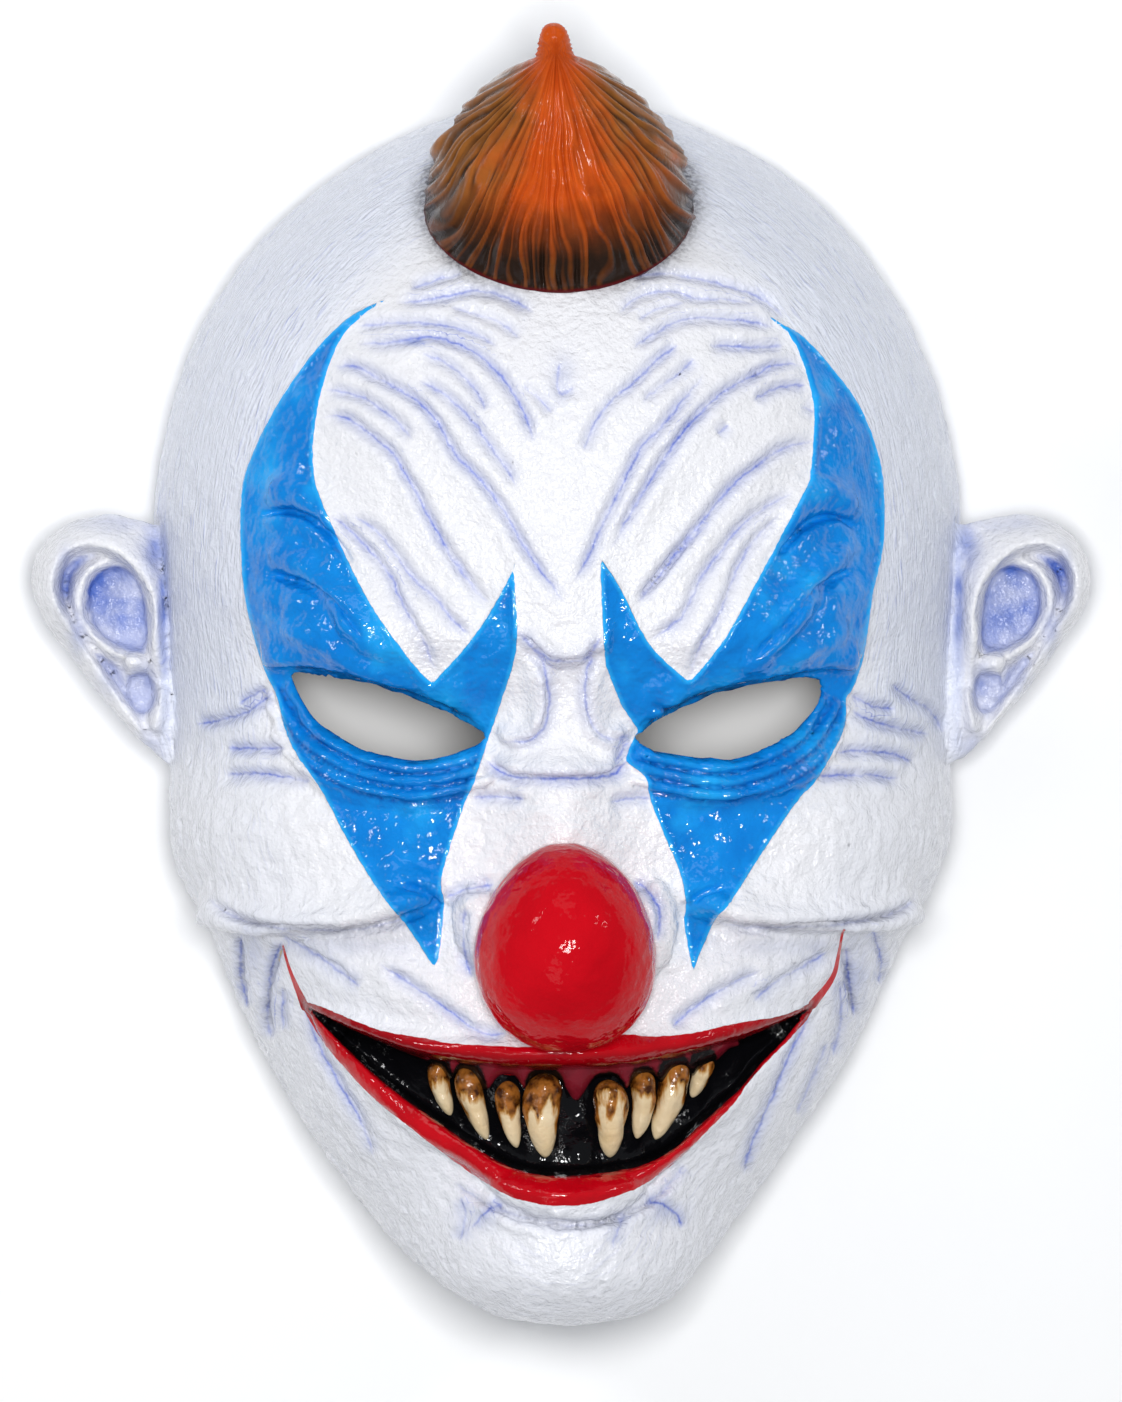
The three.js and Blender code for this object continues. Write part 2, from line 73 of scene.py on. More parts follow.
for name, place, wide, high, watts in (
    ("front", (0.03, 0.03, 3.0), 0.42, 0.42, 57),
    ("low", (-0.7, -1.0, 2.2), 0.8, 0.8, 3.5),
    ("top", (0.0, 1.9, 1.9), 1.4, 1.0, 6),
    ("left", (-1.35, 0.85, 1.15), 0.36, 0.2, 6),
    ("right", (1.6, 0.75, 0.95), 0.18, 0.34, 4),
):
    bpy.ops.object.light_add(type="AREA", location=place)
    lamp = bpy.context.object
    lamp.name = "light_" + name
    lamp.data.shape = "RECTANGLE"
    lamp.data.size = wide
    lamp.data.size_y = high
    lamp.data.energy = watts
    aim = np.array((0, 0, 0.08)) - np.array(place)
    aim = aim / np.linalg.norm(aim)
    lamp.rotation_euler = (math.acos(-aim[2]), 0, math.atan2(-aim[0], aim[1]))

CAMERA_HEIGHT = 12.0
FRAME_HEIGHT = 0.31545  # what the picture takes in from top to bottom, 60 mm above the table
bpy.ops.object.camera_add(location=(0, -0.00585, CAMERA_HEIGHT), rotation=(0, 0, 0))
camera = bpy.context.object
camera.data.sensor_width = 36
camera.data.lens = 36 * (CAMERA_HEIGHT - 0.06) / FRAME_HEIGHT
camera.data.clip_end = 30
bpy.context.scene.camera = camera

# Skin: one casting of latex, white on the face and bare on the inside, with the ears, the painted eye
# patches, the lips and the black pocket of the mouth. It is one shell with the nose and the tuft, which
# are hollow too, so their sizes stand here as well. Sizes in millimetres, +Y to the crown, +Z outwards.
WALL = 3.6
MOUTH_DEPTH = 15
VOXEL = 0.7
SLIVER = 0.01
MOST_TRIANGLES = 190000

# Levels of the head from crown to chin: height, half width, middle of the width, depth of the widest
# line, depth of the front, squareness of the section
LEVELS = np.array((
    (131, 0, 0, 24, 24, 2.2), (129.5, 11, 0, 23, 46, 2.2), (127.5, 20, 0, 22, 55, 2.2),
    (122.7, 32.8, 0, 20, 66, 2.2), (116, 45.4, 0, 18, 76, 2.2), (109, 55.2, -0.1, 17, 85, 2.2),
    (100, 65, -0.7, 16, 94.5, 2.25), (90, 73, -1, 16, 103, 2.3), (76, 81.2, -1.1, 16, 112, 2.35),
    (58, 87.4, -0.9, 16, 119, 2.35), (38, 90.8, -0.8, 16, 122, 2.3), (18, 90.4, -0.8, 16, 121, 2.3),
    (-4, 88.8, -0.5, 16, 115, 2.3), (-24, 86.4, -0.2, 16, 113, 2.3), (-44, 81.6, -0.4, 17, 114, 2.25),
    (-60, 76.8, -0.5, 19, 115, 2.2), (-75, 71, -0.8, 23, 116, 2.15), (-88, 64.2, -1.1, 29, 117, 2.1),
    (-100, 56.6, -1.5, 36, 117, 2.05), (-112, 48.2, -1.5, 44, 116, 2), (-123, 40, -1.2, 53, 115, 2),
    (-132, 31.8, -0.5, 62, 112, 2), (-139, 23.2, 0.8, 71, 107.5, 2), (-143.2, 15, 1.2, 79, 101.5, 2),
    (-145.1, 7, 1, 84, 94.5, 2), (-145.4, 0, 1, 87, 87, 2),
))

# Broad forms, which the inside follows too: middle, radii, height, turn in degrees
FORMS = (
    ((0, 14), (14, 13), 4, 0), ((-40, 12), (26, 8), 6, -12), ((41, 12), (26, 8), 6, 12),
    ((-38, -9), (20, 7), -9, -8), ((38, -9), (20, 7), -9, 8), ((0, -36), (11, 26), 9, 0),
    ((-65, -38), (24, 17), 9.5, -10), ((64, -38), (24, 17), 9.5, 10), ((-44, -66), (22, 9), 3, -20),
    ((44, -66), (22, 9), 3, 20), ((-22, -112), (22, 14), -4, 20), ((24, -112), (22, 14), -4, -20),
    ((2, -133), (26, 9), 6, 0),
)

# Rounded lobes with a clean edge, of the same four values
LOBES = (
    ((-17.6, -57), (6, 11), 6.5, 8), ((19.6, -57), (6, 11), 6.5, -8), ((1, -118), (21, 7.5), 2.5, 0),
)

# Ledges, rolls and folds: kind, half width, height, path. A ledge stands up on the left of its path.
LINES = (
    ("ledge", 9, 8, ((-78, -52), (-70, -55.5), (-60, -57), (-46, -57), (-35, -54), (-24, -49))),
    ("ledge", 9, 8, ((24, -50), (35, -55), (47, -56.8), (61, -56), (70, -55), (77, -52))),
    ("ledge", 8, 6, ((-66, 1.5), (-60, 2.6), (-50, 1.4), (-40, -1.6), (-28, -6.4), (-15.5, -12.6))),
    ("ledge", 8, 6, ((15.5, -12.6), (28, -6), (40, -1.8), (50, 0.6), (60, 1.8), (66, 0.5))),
    ("ledge", 5, 1.6, ((-60, -17), (-50, -26.5), (-35, -29.6), (-22, -28))),
    ("ledge", 5, 1.6, ((21, -28), (34, -29.4), (45, -27.6), (58, -19))),
    ("roll", 2.7, 3.6, ((-58, -73.5), (-45, -78.7), (-30, -83), (-12, -84.8), (4, -84.8),
        (18, -83.7), (32, -81), (57, -74))),
    ("roll", 3.2, 4.4, ((-57, -76), (-35, -97.5), (-22, -107.5), (-9, -114.5), (3, -116), (16, -113),
        (29, -103.5), (56, -76))),
    ("fold", 2.4, 2.2, ((-24, -112.5), (-12, -118.8), (2, -123), (16, -120.5), (31, -109))),
    ("roll", 2.6, 2.2, ((-66, 41), (-60, 41.5), (-54, 37.5), (-48, 31))),
    ("roll", 2.6, 2.2, ((66, 37), (60, 41), (54, 39.5), (48, 33))),
    ("roll", 2.4, 2.2, ((-67, 29), (-58, 26), (-50, 20.5), (-43, 12), (-37, 4))),
    ("roll", 2.4, 2.2, ((67, 30), (58, 25), (50, 15), (43, 6.5), (37, 1.5))),
    ("roll", 2, 1.8, ((-60, 12), (-52, 9), (-45, 5), (-38, 1))),
    ("roll", 2, 1.8, ((61, 12), (54, 8), (47, 4))),
    ("ledge", 4, 4, ((-16, -12), (-13, -15), (-8.5, -15.8), (-4.3, -13.4), (-2.4, -8), (-2.3, -1),
        (-3.6, 6))),
    ("ledge", 4, 4, ((5.6, 6), (4.4, -1), (4.5, -8), (6.5, -13.4), (10.5, -15.8), (14.5, -14.6),
        (17, -12))),
    ("ledge", 4.5, 3, ((-15, -18), (-12, -22), (-5, -23), (3, -23.2), (11, -22.3), (15.5, -18))),
    ("ledge", 5, 3, ((-12, 12), (-7, 6.5), (-3, 3.8), (1, 3), (5, 3.8), (9, 7), (12.5, 12))),
)

# Fine wrinkles, cut thin and sharp and stained violet: depth, strength of the stain, path
WRINKLES = (
    (0.7, 0.6, ((-34, 86.5), (-28, 88.5), (-22, 90))),
    (0.8, 0.7, ((-37, 83.5), (-28, 84.3), (-20, 86), (-13, 85), (-6, 81))),
    (0.6, 0.5, ((-25, 82.5), (-18, 80.5), (-13, 78.5), (-9, 75))),
    (0.9, 0.7, ((-46, 78), (-36, 79), (-28, 78.5), (-20, 76.5), (-14, 73.5))),
    (1, 0.9, ((-46, 74.3), (-38, 74.5), (-30, 75.7), (-24, 74.5), (-18, 71.5), (-12, 65), (-8, 58),
        (-6, 52))),
    (0.7, 0.6, ((-31, 72), (-26, 70), (-22, 67), (-18, 62), (-17, 59))),
    (1.1, 1, ((-51, 69), (-46, 69), (-40, 66), (-33, 62), (-28, 57), (-24, 50), (-18, 43.5),
        (-13, 37), (-9, 30), (-5, 24), (1, 16))),
    (0.8, 0.7, ((-53, 64), (-46, 62.8), (-41, 60), (-37, 57), (-33, 52.5))),
    (1, 0.9, ((-54, 58), (-48, 57.5), (-43, 54), (-38, 50), (-35, 45), (-32.5, 41), (-30, 36),
        (-26, 29), (-23, 24), (-18, 18))),
    (0.8, 0.8, ((-32, 66), (-27, 63.5), (-24, 61), (-20, 57), (-15, 50), (-12, 46), (-10, 42))),
    (0.6, 0.5, ((-9, 65), (-5, 62), (-2, 58.5))),
    (0.5, 0.7, ((0, 70), (-1, 66), (0, 63), (3, 64.5))),
    (0.7, 0.6, ((12.5, 81), (18, 85), (25, 86), (30, 84.5), (38, 84), (44, 83))),
    (0.7, 0.6, ((15, 88.5), (22, 90), (30, 89), (38, 87), (46, 84), (50, 80))),
    (0.5, 0.4, ((17, 79.5), (22, 82), (28, 83.5))),
    (0.8, 0.7, ((16, 73), (21, 76.5), (27, 79.5), (33, 80), (40, 79.5), (48, 78))),
    (0.9, 0.7, ((12, 62), (17, 66), (22, 71), (26, 74))),
    (0.9, 0.8, ((33, 74), (40, 73.5), (46, 73.5), (50, 74))),
    (0.7, 0.6, ((5, 50), (7, 55), (10, 60), (14, 64))),
    (1.1, 1, ((54, 69.5), (48, 69.5), (42, 66.5), (36, 63), (31, 58.5), (27, 54), (23, 48), (19, 42),
        (15, 35), (11, 28))),
    (0.9, 0.8, ((32, 67), (27, 61), (22, 55), (18, 51), (15, 45), (12, 39), (9, 33), (6, 26), (3, 21))),
    (0.7, 0.6, ((30, 71), (27, 68), (22, 64.5), (18, 61))),
    (0.8, 0.8, ((55, 65), (49, 64.5), (43, 61.5))),
    (1, 0.9, ((57, 52.5), (50, 51), (44, 47), (39, 43), (33, 36), (28, 30), (21, 21), (17, 17))),
    (0.5, 0.6, ((37.5, 56), (35, 54))),
    (0.5, 0.5, ((57, 59), (54, 60))),
    (1, 0.7, ((-52, 36), (-48, 33), (-42, 27), (-38, 22), (-36, 17), (-31, 8), (-28, 1))),
    (0.9, 0.6, ((-47, 36), (-41, 32), (-37, 27), (-33, 21.5), (-28, 17), (-24, 12), (-20, 9))),
    (0.6, 0.5, ((-24, 27), (-20, 20), (-16, 16))),
    (1, 0.7, ((52, 41), (45, 37), (40, 33), (36, 28), (31, 21), (27, 13), (20, 8))),
    (0.9, 0.6, ((50, 37), (44, 31), (40, 25), (38, 20), (35, 13), (31, 6), (28.5, -1))),
    (0.7, 0.6, ((33, 34), (29, 30), (25, 26), (21, 21), (17, 16))),
    (1, 1, ((-10, 10), (-5, 5), (0, 3), (6, 4), (9, 9))),
    (1, 0.7, ((-9.5, 9.6), (-6, 6), (-4, 2.4), (-2.7, -4.8), (-3.6, -11), (-7.2, -14.7),
        (-13.5, -14.7))),
    (1, 0.7, ((8.1, 6), (5.9, 1.5), (5.4, -4.8), (6.8, -11), (10.8, -14.3), (16.2, -13.4))),
    (1, 1, ((-17, -19), (-12, -22.5), (-5, -23.2), (3, -23.2), (11, -22.5), (15, -19))),
    (0.8, 0.8, ((-20, -27.5), (-13, -27.3), (-8, -28))),
    (0.8, 0.8, ((11, -28.5), (15, -27.8), (20, -27.5))),
    (0.8, 0.8, ((12, -20), (14, -16), (15.5, -15))),
    (1, 1, ((-26, -50), (-21, -48), (-15, -47))),
    (1, 1, ((16, -46), (20, -49), (22, -53), (21.8, -60))),
    (1, 0.9, ((-21.5, -52), (-21.8, -60), (-20, -68))),
    (2.6, 0.35, ((-80, -50), (-74, -54), (-68, -56), (-60, -57), (-48, -57.2), (-40, -56),
        (-33, -53.5), (-27, -50.5))),
    (2.6, 0.35, ((35, -55.5), (42, -56.5), (55, -56.5), (65, -55.5), (75, -53.5), (80, -50))),
    (0.9, 0.8, ((-63, -58), (-53, -64), (-45, -70))),
    (0.9, 0.8, ((-41, -64.5), (-31, -71), (-24, -76), (-18, -80), (-12, -80.5))),
    (0.9, 0.8, ((45, -66), (35, -71), (28, -76), (25, -79))),
    (0.8, 0.7, ((60, -62), (55, -65), (48, -69), (43, -73))),
    (1.5, 1, ((-72, -58), (-72, -68), (-70.5, -75))),
    (1.5, 1, ((-62.5, -59.5), (-65, -66), (-66, -76), (-65.3, -82))),
    (0.7, 0.7, ((-62.5, -70), (-62.5, -80))),
    (0.9, 0.8, ((-58, -74), (-54, -84), (-49, -93), (-45, -100), (-42, -108))),
    (1.5, 1, ((64, -61), (64.5, -68), (66, -77))),
    (0.8, 0.9, ((62.5, -68), (63, -78), (61, -86))),
    (0.9, 0.9, ((70, -57), (72, -64), (71.5, -70))),
    (0.9, 0.8, ((56.5, -75), (52, -84), (47, -96), (43, -105), (41, -112))),
    (0.7, 0.7, ((60, -82), (56, -92), (53, -99))),
    (0.6, 0.6, ((28, -110), (22, -117))),
    (1.3, 0.3, ((-24, -113.5), (-20.7, -116.2), (-12, -120.4), (0, -123.2), (8, -122.8),
        (15, -120.4), (20, -117.8), (27, -112))),
    (0.3, 1, ((-22.5, -117), (-21.5, -121), (-22.5, -127))),
    (0.3, 1, ((-13, -118.5), (-16.5, -120), (-20, -124))),
    (0.3, 1, ((18.5, -118.3), (22.5, -118.6), (26, -121), (27, -124))),
    (0.3, 0.8, ((14.5, -120.5), (13, -123.5), (11.5, -127.5))),
    (0.8, 0.9, ((-66, -3), (-69, -4.5), (-72, -6.5))),
    (0.9, 0.9, ((-64, -3.5), (-70, -8), (-76, -10), (-82, -11))),
    (0.9, 0.9, ((-62, -16.5), (-68, -16.5), (-75, -16.5))),
    (0.9, 0.9, ((-56, -24), (-62, -22.8), (-69, -22), (-75, -22.5))),
    (0.8, 0.8, ((65, -4.5), (70, -7), (75, -7.5))),
    (0.9, 0.9, ((65, -8), (70, -10.5), (76, -12), (83, -13.3))),
    (0.9, 0.9, ((61, -17.5), (68, -17), (75, -18), (79, -19.5))),
    (0.9, 0.9, ((57, -22.8), (63, -22.5), (69, -22.5), (76, -23.3))),
    (0.7, 0.7, ((74, -2), (78, -5), (83, -8), (86, -13))),
    (1.6, 0, ((-67, 36), (-60, 36.6), (-53, 33), (-47, 25))),
    (1.6, 0, ((-66, 23), (-57, 20), (-50, 15), (-44, 8))),
    (1.6, 0, ((67, 33), (60, 35.5), (54, 33), (48, 26))),
    (1.6, 0, ((66, 24), (58, 19.5), (50, 10.5), (43, 4))),
    (1.2, 0, ((-36, -47), (-30, -49), (-26.5, -52.5))),
    (1.2, 0, ((27.5, -52.5), (31, -49.5), (37, -47.5))),
)

# Places where the violet wash pools: middle, radii, strength
STAINS = (
    ((89.6, 17), (1.2, 15), 1), ((-89.6, 17), (1.2, 15), 1), ((91.5, 29), (2.6, 6), 0.8),
    ((-91.5, 29), (2.6, 6), 0.8), ((92, -16), (4, 4), 0.35), ((-92, -16), (4, 4), 0.35),
    ((100, 34), (9, 2), 0.3), ((-100, 34), (9, 2), 0.3), ((-19, -121.5), (4.5, 2.6), 0.35),
    ((23, -120.5), (5, 2.2), 0.35), ((-48, -61), (16, 2), 0.2), ((52, -61), (14, 2), 0.2),
    ((113.2, 21), (1.7, 6), 0.9), ((-111.7, 21), (1.7, 6), 0.9), ((110.4, 10), (2, 5), 0.5),
    ((-108.9, 10), (2, 5), 0.5), ((103.5, -1.5), (3, 3), 0.4), ((-102, -1.5), (3, 3), 0.4),
    ((95, -3), (2.4, 4.5), 0.8), ((-93.5, -3), (2.4, 4.5), 0.8), ((-33, 74.6), (3, 0.9), 0.9),
    ((0, 66), (3, 5), 0.35), ((-70, -62), (3, 7), 0.35), ((66, -68), (4, 9), 0.35),
)

# The blue patches round the eyes, and the eye holes in them
BLUE_LEFT = (
    (-38.5, 84.6), (-38.5, 84.6), (-44.1, 80.9), (-49.3, 75.6), (-52.5, 68), (-54.3, 61.2),
    (-55.6, 52.2), (-55.5, 46.1), (-53.6, 38.7), (-44.4, 18.9), (-37, 7.5), (-29.7, -1.2), (-27.1, 0),
    (-20.4, 7.4), (-15.5, 14.6), (-10.6, 23.6), (-10.6, 23.6), (-9.8, 9.5), (-11, 1.4), (-15.3, -11.5),
    (-17.4, -17.8), (-18.5, -20.9), (-19.6, -24.5), (-22.1, -30.2), (-25.7, -41.2), (-26.9, -47.2),
    (-26.2, -51.1), (-27.4, -63.2), (-28.6, -65.2), (-28.6, -65.2), (-35.2, -55.4), (-39.6, -50.2),
    (-47.3, -38), (-53.3, -26.6), (-59.2, -18), (-62, -12), (-63.7, -5), (-66, -0.2), (-68.7, 7.6),
    (-71.4, 20.7), (-71.9, 37.8), (-70.2, 47.2), (-64.4, 59.4), (-56.1, 71.6), (-49.7, 78.4),
    (-45.2, 81.7),
)
BLUE_RIGHT = (
    (46.6, 80.5), (46.6, 80.5), (49.5, 78.8), (55.2, 75.2), (63.2, 66), (68.1, 58.3), (71.6, 48.2),
    (72.6, 39.4), (72.3, 28.4), (69.9, 17.6), (68.2, 5.2), (65.7, -2.9), (64, -5.4), (63.6, -11.9),
    (57.6, -23.2), (53.1, -28.1), (45, -40), (37.6, -51.5), (34.2, -55.4), (29.6, -66.4), (29.6, -66.4),
    (27.6, -55.8), (28, -51.3), (26.8, -44.6), (23, -35.5), (19.8, -27.2), (19, -23), (15, -19.8),
    (14.7, -18), (16.4, -14), (17, -11.9), (13.9, -7.4), (10.5, 0.9), (9.8, 4.3), (8.9, 22.3),
    (9.3, 25.4), (9.3, 25.4), (13, 20), (19.4, 7.4), (26.8, 0), (29.5, -0.7), (35.3, 6.2), (39.9, 13.5),
    (54.5, 41), (55.9, 45.2), (56.8, 56.2), (56.3, 62.8), (52.7, 74),
)
EYE_LEFT = (
    (-16.7, -13.4), (-22, -10), (-28, -7), (-35, -4), (-45, -1.3), (-55, 0.5), (-60, 0.4), (-60, -1.6),
    (-57.6, -6.5), (-54.1, -11), (-46.8, -15.6), (-42.1, -17.6), (-32.6, -19.2), (-23, -17.6),
    (-17.8, -15.2),
)
EYE_RIGHT = (
    (16.4, -13.8), (21.8, -10), (29, -6.2), (36, -3.5), (45, -1.8), (54, -0.3), (58.2, -1.2),
    (57.6, -6.4), (54, -10.9), (50.8, -13.8), (43.2, -17.6), (35.1, -19.2), (23.8, -17.5),
    (18.9, -16.5),
)
# The lower edges of the eye holes, from the outer corner in, which three rolls of skin follow
LIDS = (
    ((-61, -0.5), (-59.6, -4), (-57.6, -6.5), (-54.1, -11), (-46.8, -15.6), (-42.1, -17.6),
        (-32.6, -19.2), (-23, -17.6), (-17.8, -15.2)),
    ((59.5, -3), (57.6, -6.4), (54, -10.9), (50.8, -13.8), (43.2, -17.6), (35.1, -19.2),
        (23.8, -17.5), (17, -15.5)),
)
# The opening of the mouth, and the outer edge of the red lips
MOUTH = (
    (-57.5, -74.3), (-57.5, -74.3), (-50, -77.8), (-40, -81.8), (-30, -85), (-20, -86.7), (-10, -87.6),
    (10, -87.6), (20, -86.4), (30, -84.2), (40, -81.2), (48, -78.3), (55.8, -74.8), (55.8, -74.8),
    (50, -82), (45, -87), (40, -93), (35, -97.5), (30, -102), (25, -106.5), (18, -110), (10, -111.5),
    (2, -112.3), (-5, -112), (-12, -110), (-20, -105.5), (-28, -100), (-35, -95), (-42, -89.5),
    (-50, -82),
)
LIPS = (
    (-59, -73), (-59, -73), (-55, -74), (-50, -76), (-45, -78), (-40, -79.8), (-30, -81.5),
    (-25, -82.5), (-15, -83), (-7, -83.3), (4, -82), (14, -80.5), (20, -81), (28, -80.5), (33, -79.5),
    (40, -78), (48, -76.8), (53, -75.2), (57.6, -72.6), (57.6, -72.6), (55.5, -77), (51.5, -81.5),
    (45, -88), (42, -91.5), (38, -97), (33, -102), (27, -108), (22, -112), (17, -115), (10, -117.5),
    (5, -118.7), (0, -118.9), (-6, -118.3), (-12, -116.5), (-20, -111.8), (-28, -106), (-35, -100.5),
    (-42, -95), (-50, -86.5), (-55, -80),
)
SMILE_LINES = (
    ((-57.5, -74.5), (-61, -66), (-63, -58.5)),
    ((56.5, -74), (61, -68), (62.5, -62), (63.2, -58), (64.3, -56)),
)

# The ears, given for the right of the face. On the left one the rolls and bowls sit 1.5 mm further in.
EAR_MIDDLE = (100, 12)
EAR_DEPTH = 38
EAR_THICKNESS = 4.5
EAR_OUTLINE = (
    (85, 32), (91.5, 34), (98, 35.6), (104.5, 36), (111, 34.2), (116, 30.5), (119, 25), (119.3, 19),
    (116.5, 12.5), (111.5, 5.5), (105.5, -2.5), (98.5, -10.5), (93, -16.5), (87.5, -20), (84, -15),
    (84, 6),
)
EAR_LINES = (
    ("ledge", 4, 7.4, ((93.2, -3), (93.8, 3), (94.6, 9), (95, 14), (95.8, 19.5), (97.6, 23),
        (100.6, 26), (104.3, 27.8), (108.5, 28.3), (112.2, 26.8), (114.4, 23.5), (115, 19.5),
        (113.6, 15), (110.5, 9.5))),
    ("ledge", 2.6, 5, ((114.8, 18), (113.2, 14), (110, 8.6), (106, 2.6), (101, -4.4), (96.5, -11),
        (93.5, -15))),
    ("roll", 3.3, 3.8, ((91.3, -1), (91.5, 8), (92, 16), (93.6, 23.5), (97.6, 28.8), (103, 31.4),
        (108, 31.9), (112.8, 29.8), (116.2, 25.8), (117.2, 20.5), (115.7, 15.5), (111.6, 8.5),
        (106.5, 1))),
    ("roll", 1.3, -2.6, ((108.5, 26.6), (112.4, 23.6), (113.3, 19.5), (112.4, 15.5), (109.3, 9.5),
        (104.5, 3.4), (101, -2), (97, -8.5))),
    ("roll", 2, 5.4, ((98, 24.2), (103.5, 25), (108, 22.6), (110.3, 18), (110, 12.4), (107, 8),
        (102.6, 5.4), (96.5, 3.6))),
    ("roll", 1.9, 5, ((90.4, -2), (91.6, -6.5), (92.8, -10.5), (92.6, -13))),
)
EAR_BOWLS = (
    ((101, 15.4), (7, 10.4), 5.8, -22), ((96, -3.6), (3, 5), 4.6, -15), ((96.5, 9), (2.2, 3), 1.6, -20),
)
EAR_KNOBS = (((97.2, 2.4), (3.1, 2.8), 5, 0),)
EAR_SHIFT = {1: 0, -1: 1.5}

# The nose, and the tuft in its own upright frame: radius and height up its outline
NOSE_MIDDLE = (1, -61, 128)
NOSE_RADII = (20.3, 23.4, 24)
NOSE_TAPER = 0.12
TUFT_FOOT = (-0.5, 105, 83)
TUFT_TILT = math.radians(46)
TUFT_LEAN = -1.2
TUFT_PROFILE = np.array((
    (0, -8), (26.5, -8), (29.6, -1), (29.8, 4), (28.1, 11), (22.6, 22.5), (17.2, 29.8), (12.9, 35),
    (8.8, 39.4), (5.6, 43.4), (4, 47.4), (3.4, 51.6), (2.5, 54.6), (0, 56),
))


def flow(rows, t):
    """A smooth curve through rows of numbers, at t rows from the first."""
    rows = np.asarray(rows, float)
    last = len(rows) - 1
    i = np.clip(np.floor(t).astype(int), 0, last - 1)
    s = (t - i)[:, None]
    before, a = rows[np.maximum(i - 1, 0)], rows[i]
    b, after = rows[i + 1], rows[np.minimum(i + 2, last)]
    run = b - a
    leave = np.where((i > 0)[:, None], (b - before) / 2, run)
    arrive = np.where((i + 1 < last)[:, None], (after - a) / 2, run)
    return a + run * s + s * (1 - s) * ((leave - run) * (1 - s) + (run - arrive) * s)


def smooth(points, closed=False, steps=6):
    """Points closely spaced on a smooth curve; a point given twice stays a sharp corner."""
    p = np.asarray(points, float)
    if closed:
        p = np.vstack((p[-1:], p, p[:2]))
        t = np.arange(1, len(p) - 2 + 1e-9, 1 / steps)
        return flow(p, t)[:-1]
    return flow(p, np.linspace(0, len(p) - 1, (len(p) - 1) * steps + 1))


def step_up(x, low, high):
    s = np.clip((x - low) / (high - low), 0, 1)
    return s * s * (3 - 2 * s)


LEVEL_TABLE = flow(LEVELS, np.linspace(0, len(LEVELS) - 1, 4000))


def level_at(y):
    return [np.interp(-y, -LEVEL_TABLE[:, 0], LEVEL_TABLE[:, k]) for k in range(1, 6)]


def face_depth(x, y):
    half, middle_x, middle, front, square = level_at(np.asarray(y, float))
    across = np.minimum(1, np.abs((x - middle_x) / np.maximum(half, 1e-6)))
    return middle + (front - middle) * (1 - across ** square) ** (1 / square)


def nearest(path, xy):
    """Distance to a path, the side of it, and the share of the way along."""
    a, b = path[:-1], path[1:]
    run = b - a
    reach = xy[:, None, :] - a[None]
    t = np.clip((reach * run).sum(2) / np.maximum((run ** 2).sum(1), 1e-9), 0, 1)
    gap = reach - t[..., None] * run
    distance = np.sqrt((gap ** 2).sum(2))
    k = distance.argmin(1)
    row = np.arange(len(xy))
    side = np.sign(run[k, 0] * reach[row, k, 1] - run[k, 1] * reach[row, k, 0])
    return distance[row, k], side, (k + t[row, k]) / len(run)


def around(xy, path, margin):
    low, high = path.min(0) - margin, path.max(0) + margin
    return np.flatnonzero(((xy > low) & (xy < high)).all(1))


def beside(points, xy, reach):
    """The places near a line: which they are, and distance, side and share of the way along."""
    path = smooth(points)
    sub = around(xy, path, reach)
    return sub, *nearest(path, xy[sub])


def taper(share, length):
    """Fades a line in and out over that share of it at each end."""
    return np.minimum(1, np.minimum(share, 1 - share) / length)


def lines_height(lines, xy):
    total = np.zeros(len(xy))
    for kind, width, height, points in lines:
        sub, distance, side, share = beside(points, xy, width * 2.6)
        q = (distance / width) ** 2
        fade = height * taper(share, 0.15)
        if kind == "fold":
            total[sub] -= fade * (0.8 - 1.1 * q) * np.exp(-q)
        elif kind == "ledge":
            total[sub] += fade * (0.4 + 0.6 * np.tanh(side * distance / 0.9)) * np.exp(-q)
        else:
            total[sub] += fade * np.exp(-q)
    return total


def lids_shape(xy):
    """Three round rolls, 2.5 to 3.1 mm wide, below each eye hole, and the creases between them."""
    rolls, creases = np.zeros(len(xy)), np.zeros(len(xy))
    for lid in LIDS:
        sub, distance, _, share = beside(lid, xy, 11)
        below = inside_of(EYE_LEFT if lid[0][0] < 0 else EYE_RIGHT, xy[sub]) < 0
        place = distance / (2.5 + 0.6 * step_up(share, 0.05, 0.35))
        ends = step_up(share, 0.01, 0.1) * step_up(1 - share, 0.005, 0.06)
        wave = np.abs(np.sin(np.pi * place))
        rolls[sub] += 3 * np.where(place < 3, wave ** 0.7, 0) * (1 - 0.12 * place) * ends * below
        creases[sub] += (1 - wave) ** 2 * (place > 0.5) * (place < 3.5) * ends * below
    return rolls, creases


def spread(form, xy):
    turn = math.radians(form[3])
    dx, dy = xy[:, 0] - form[0][0], xy[:, 1] - form[0][1]
    across = dx * math.cos(turn) + dy * math.sin(turn)
    up = dy * math.cos(turn) - dx * math.sin(turn)
    return (across / form[1][0]) ** 2 + (up / form[1][1]) ** 2


def mounds(forms, xy):
    return sum(form[2] * np.exp(-spread(form, xy)) for form in forms)


def lobes(forms, xy):
    high = np.zeros(len(xy))
    for form in forms:
        high = np.maximum(high, form[2] * np.sqrt(np.maximum(0, 1 - spread(form, xy))))
    return high


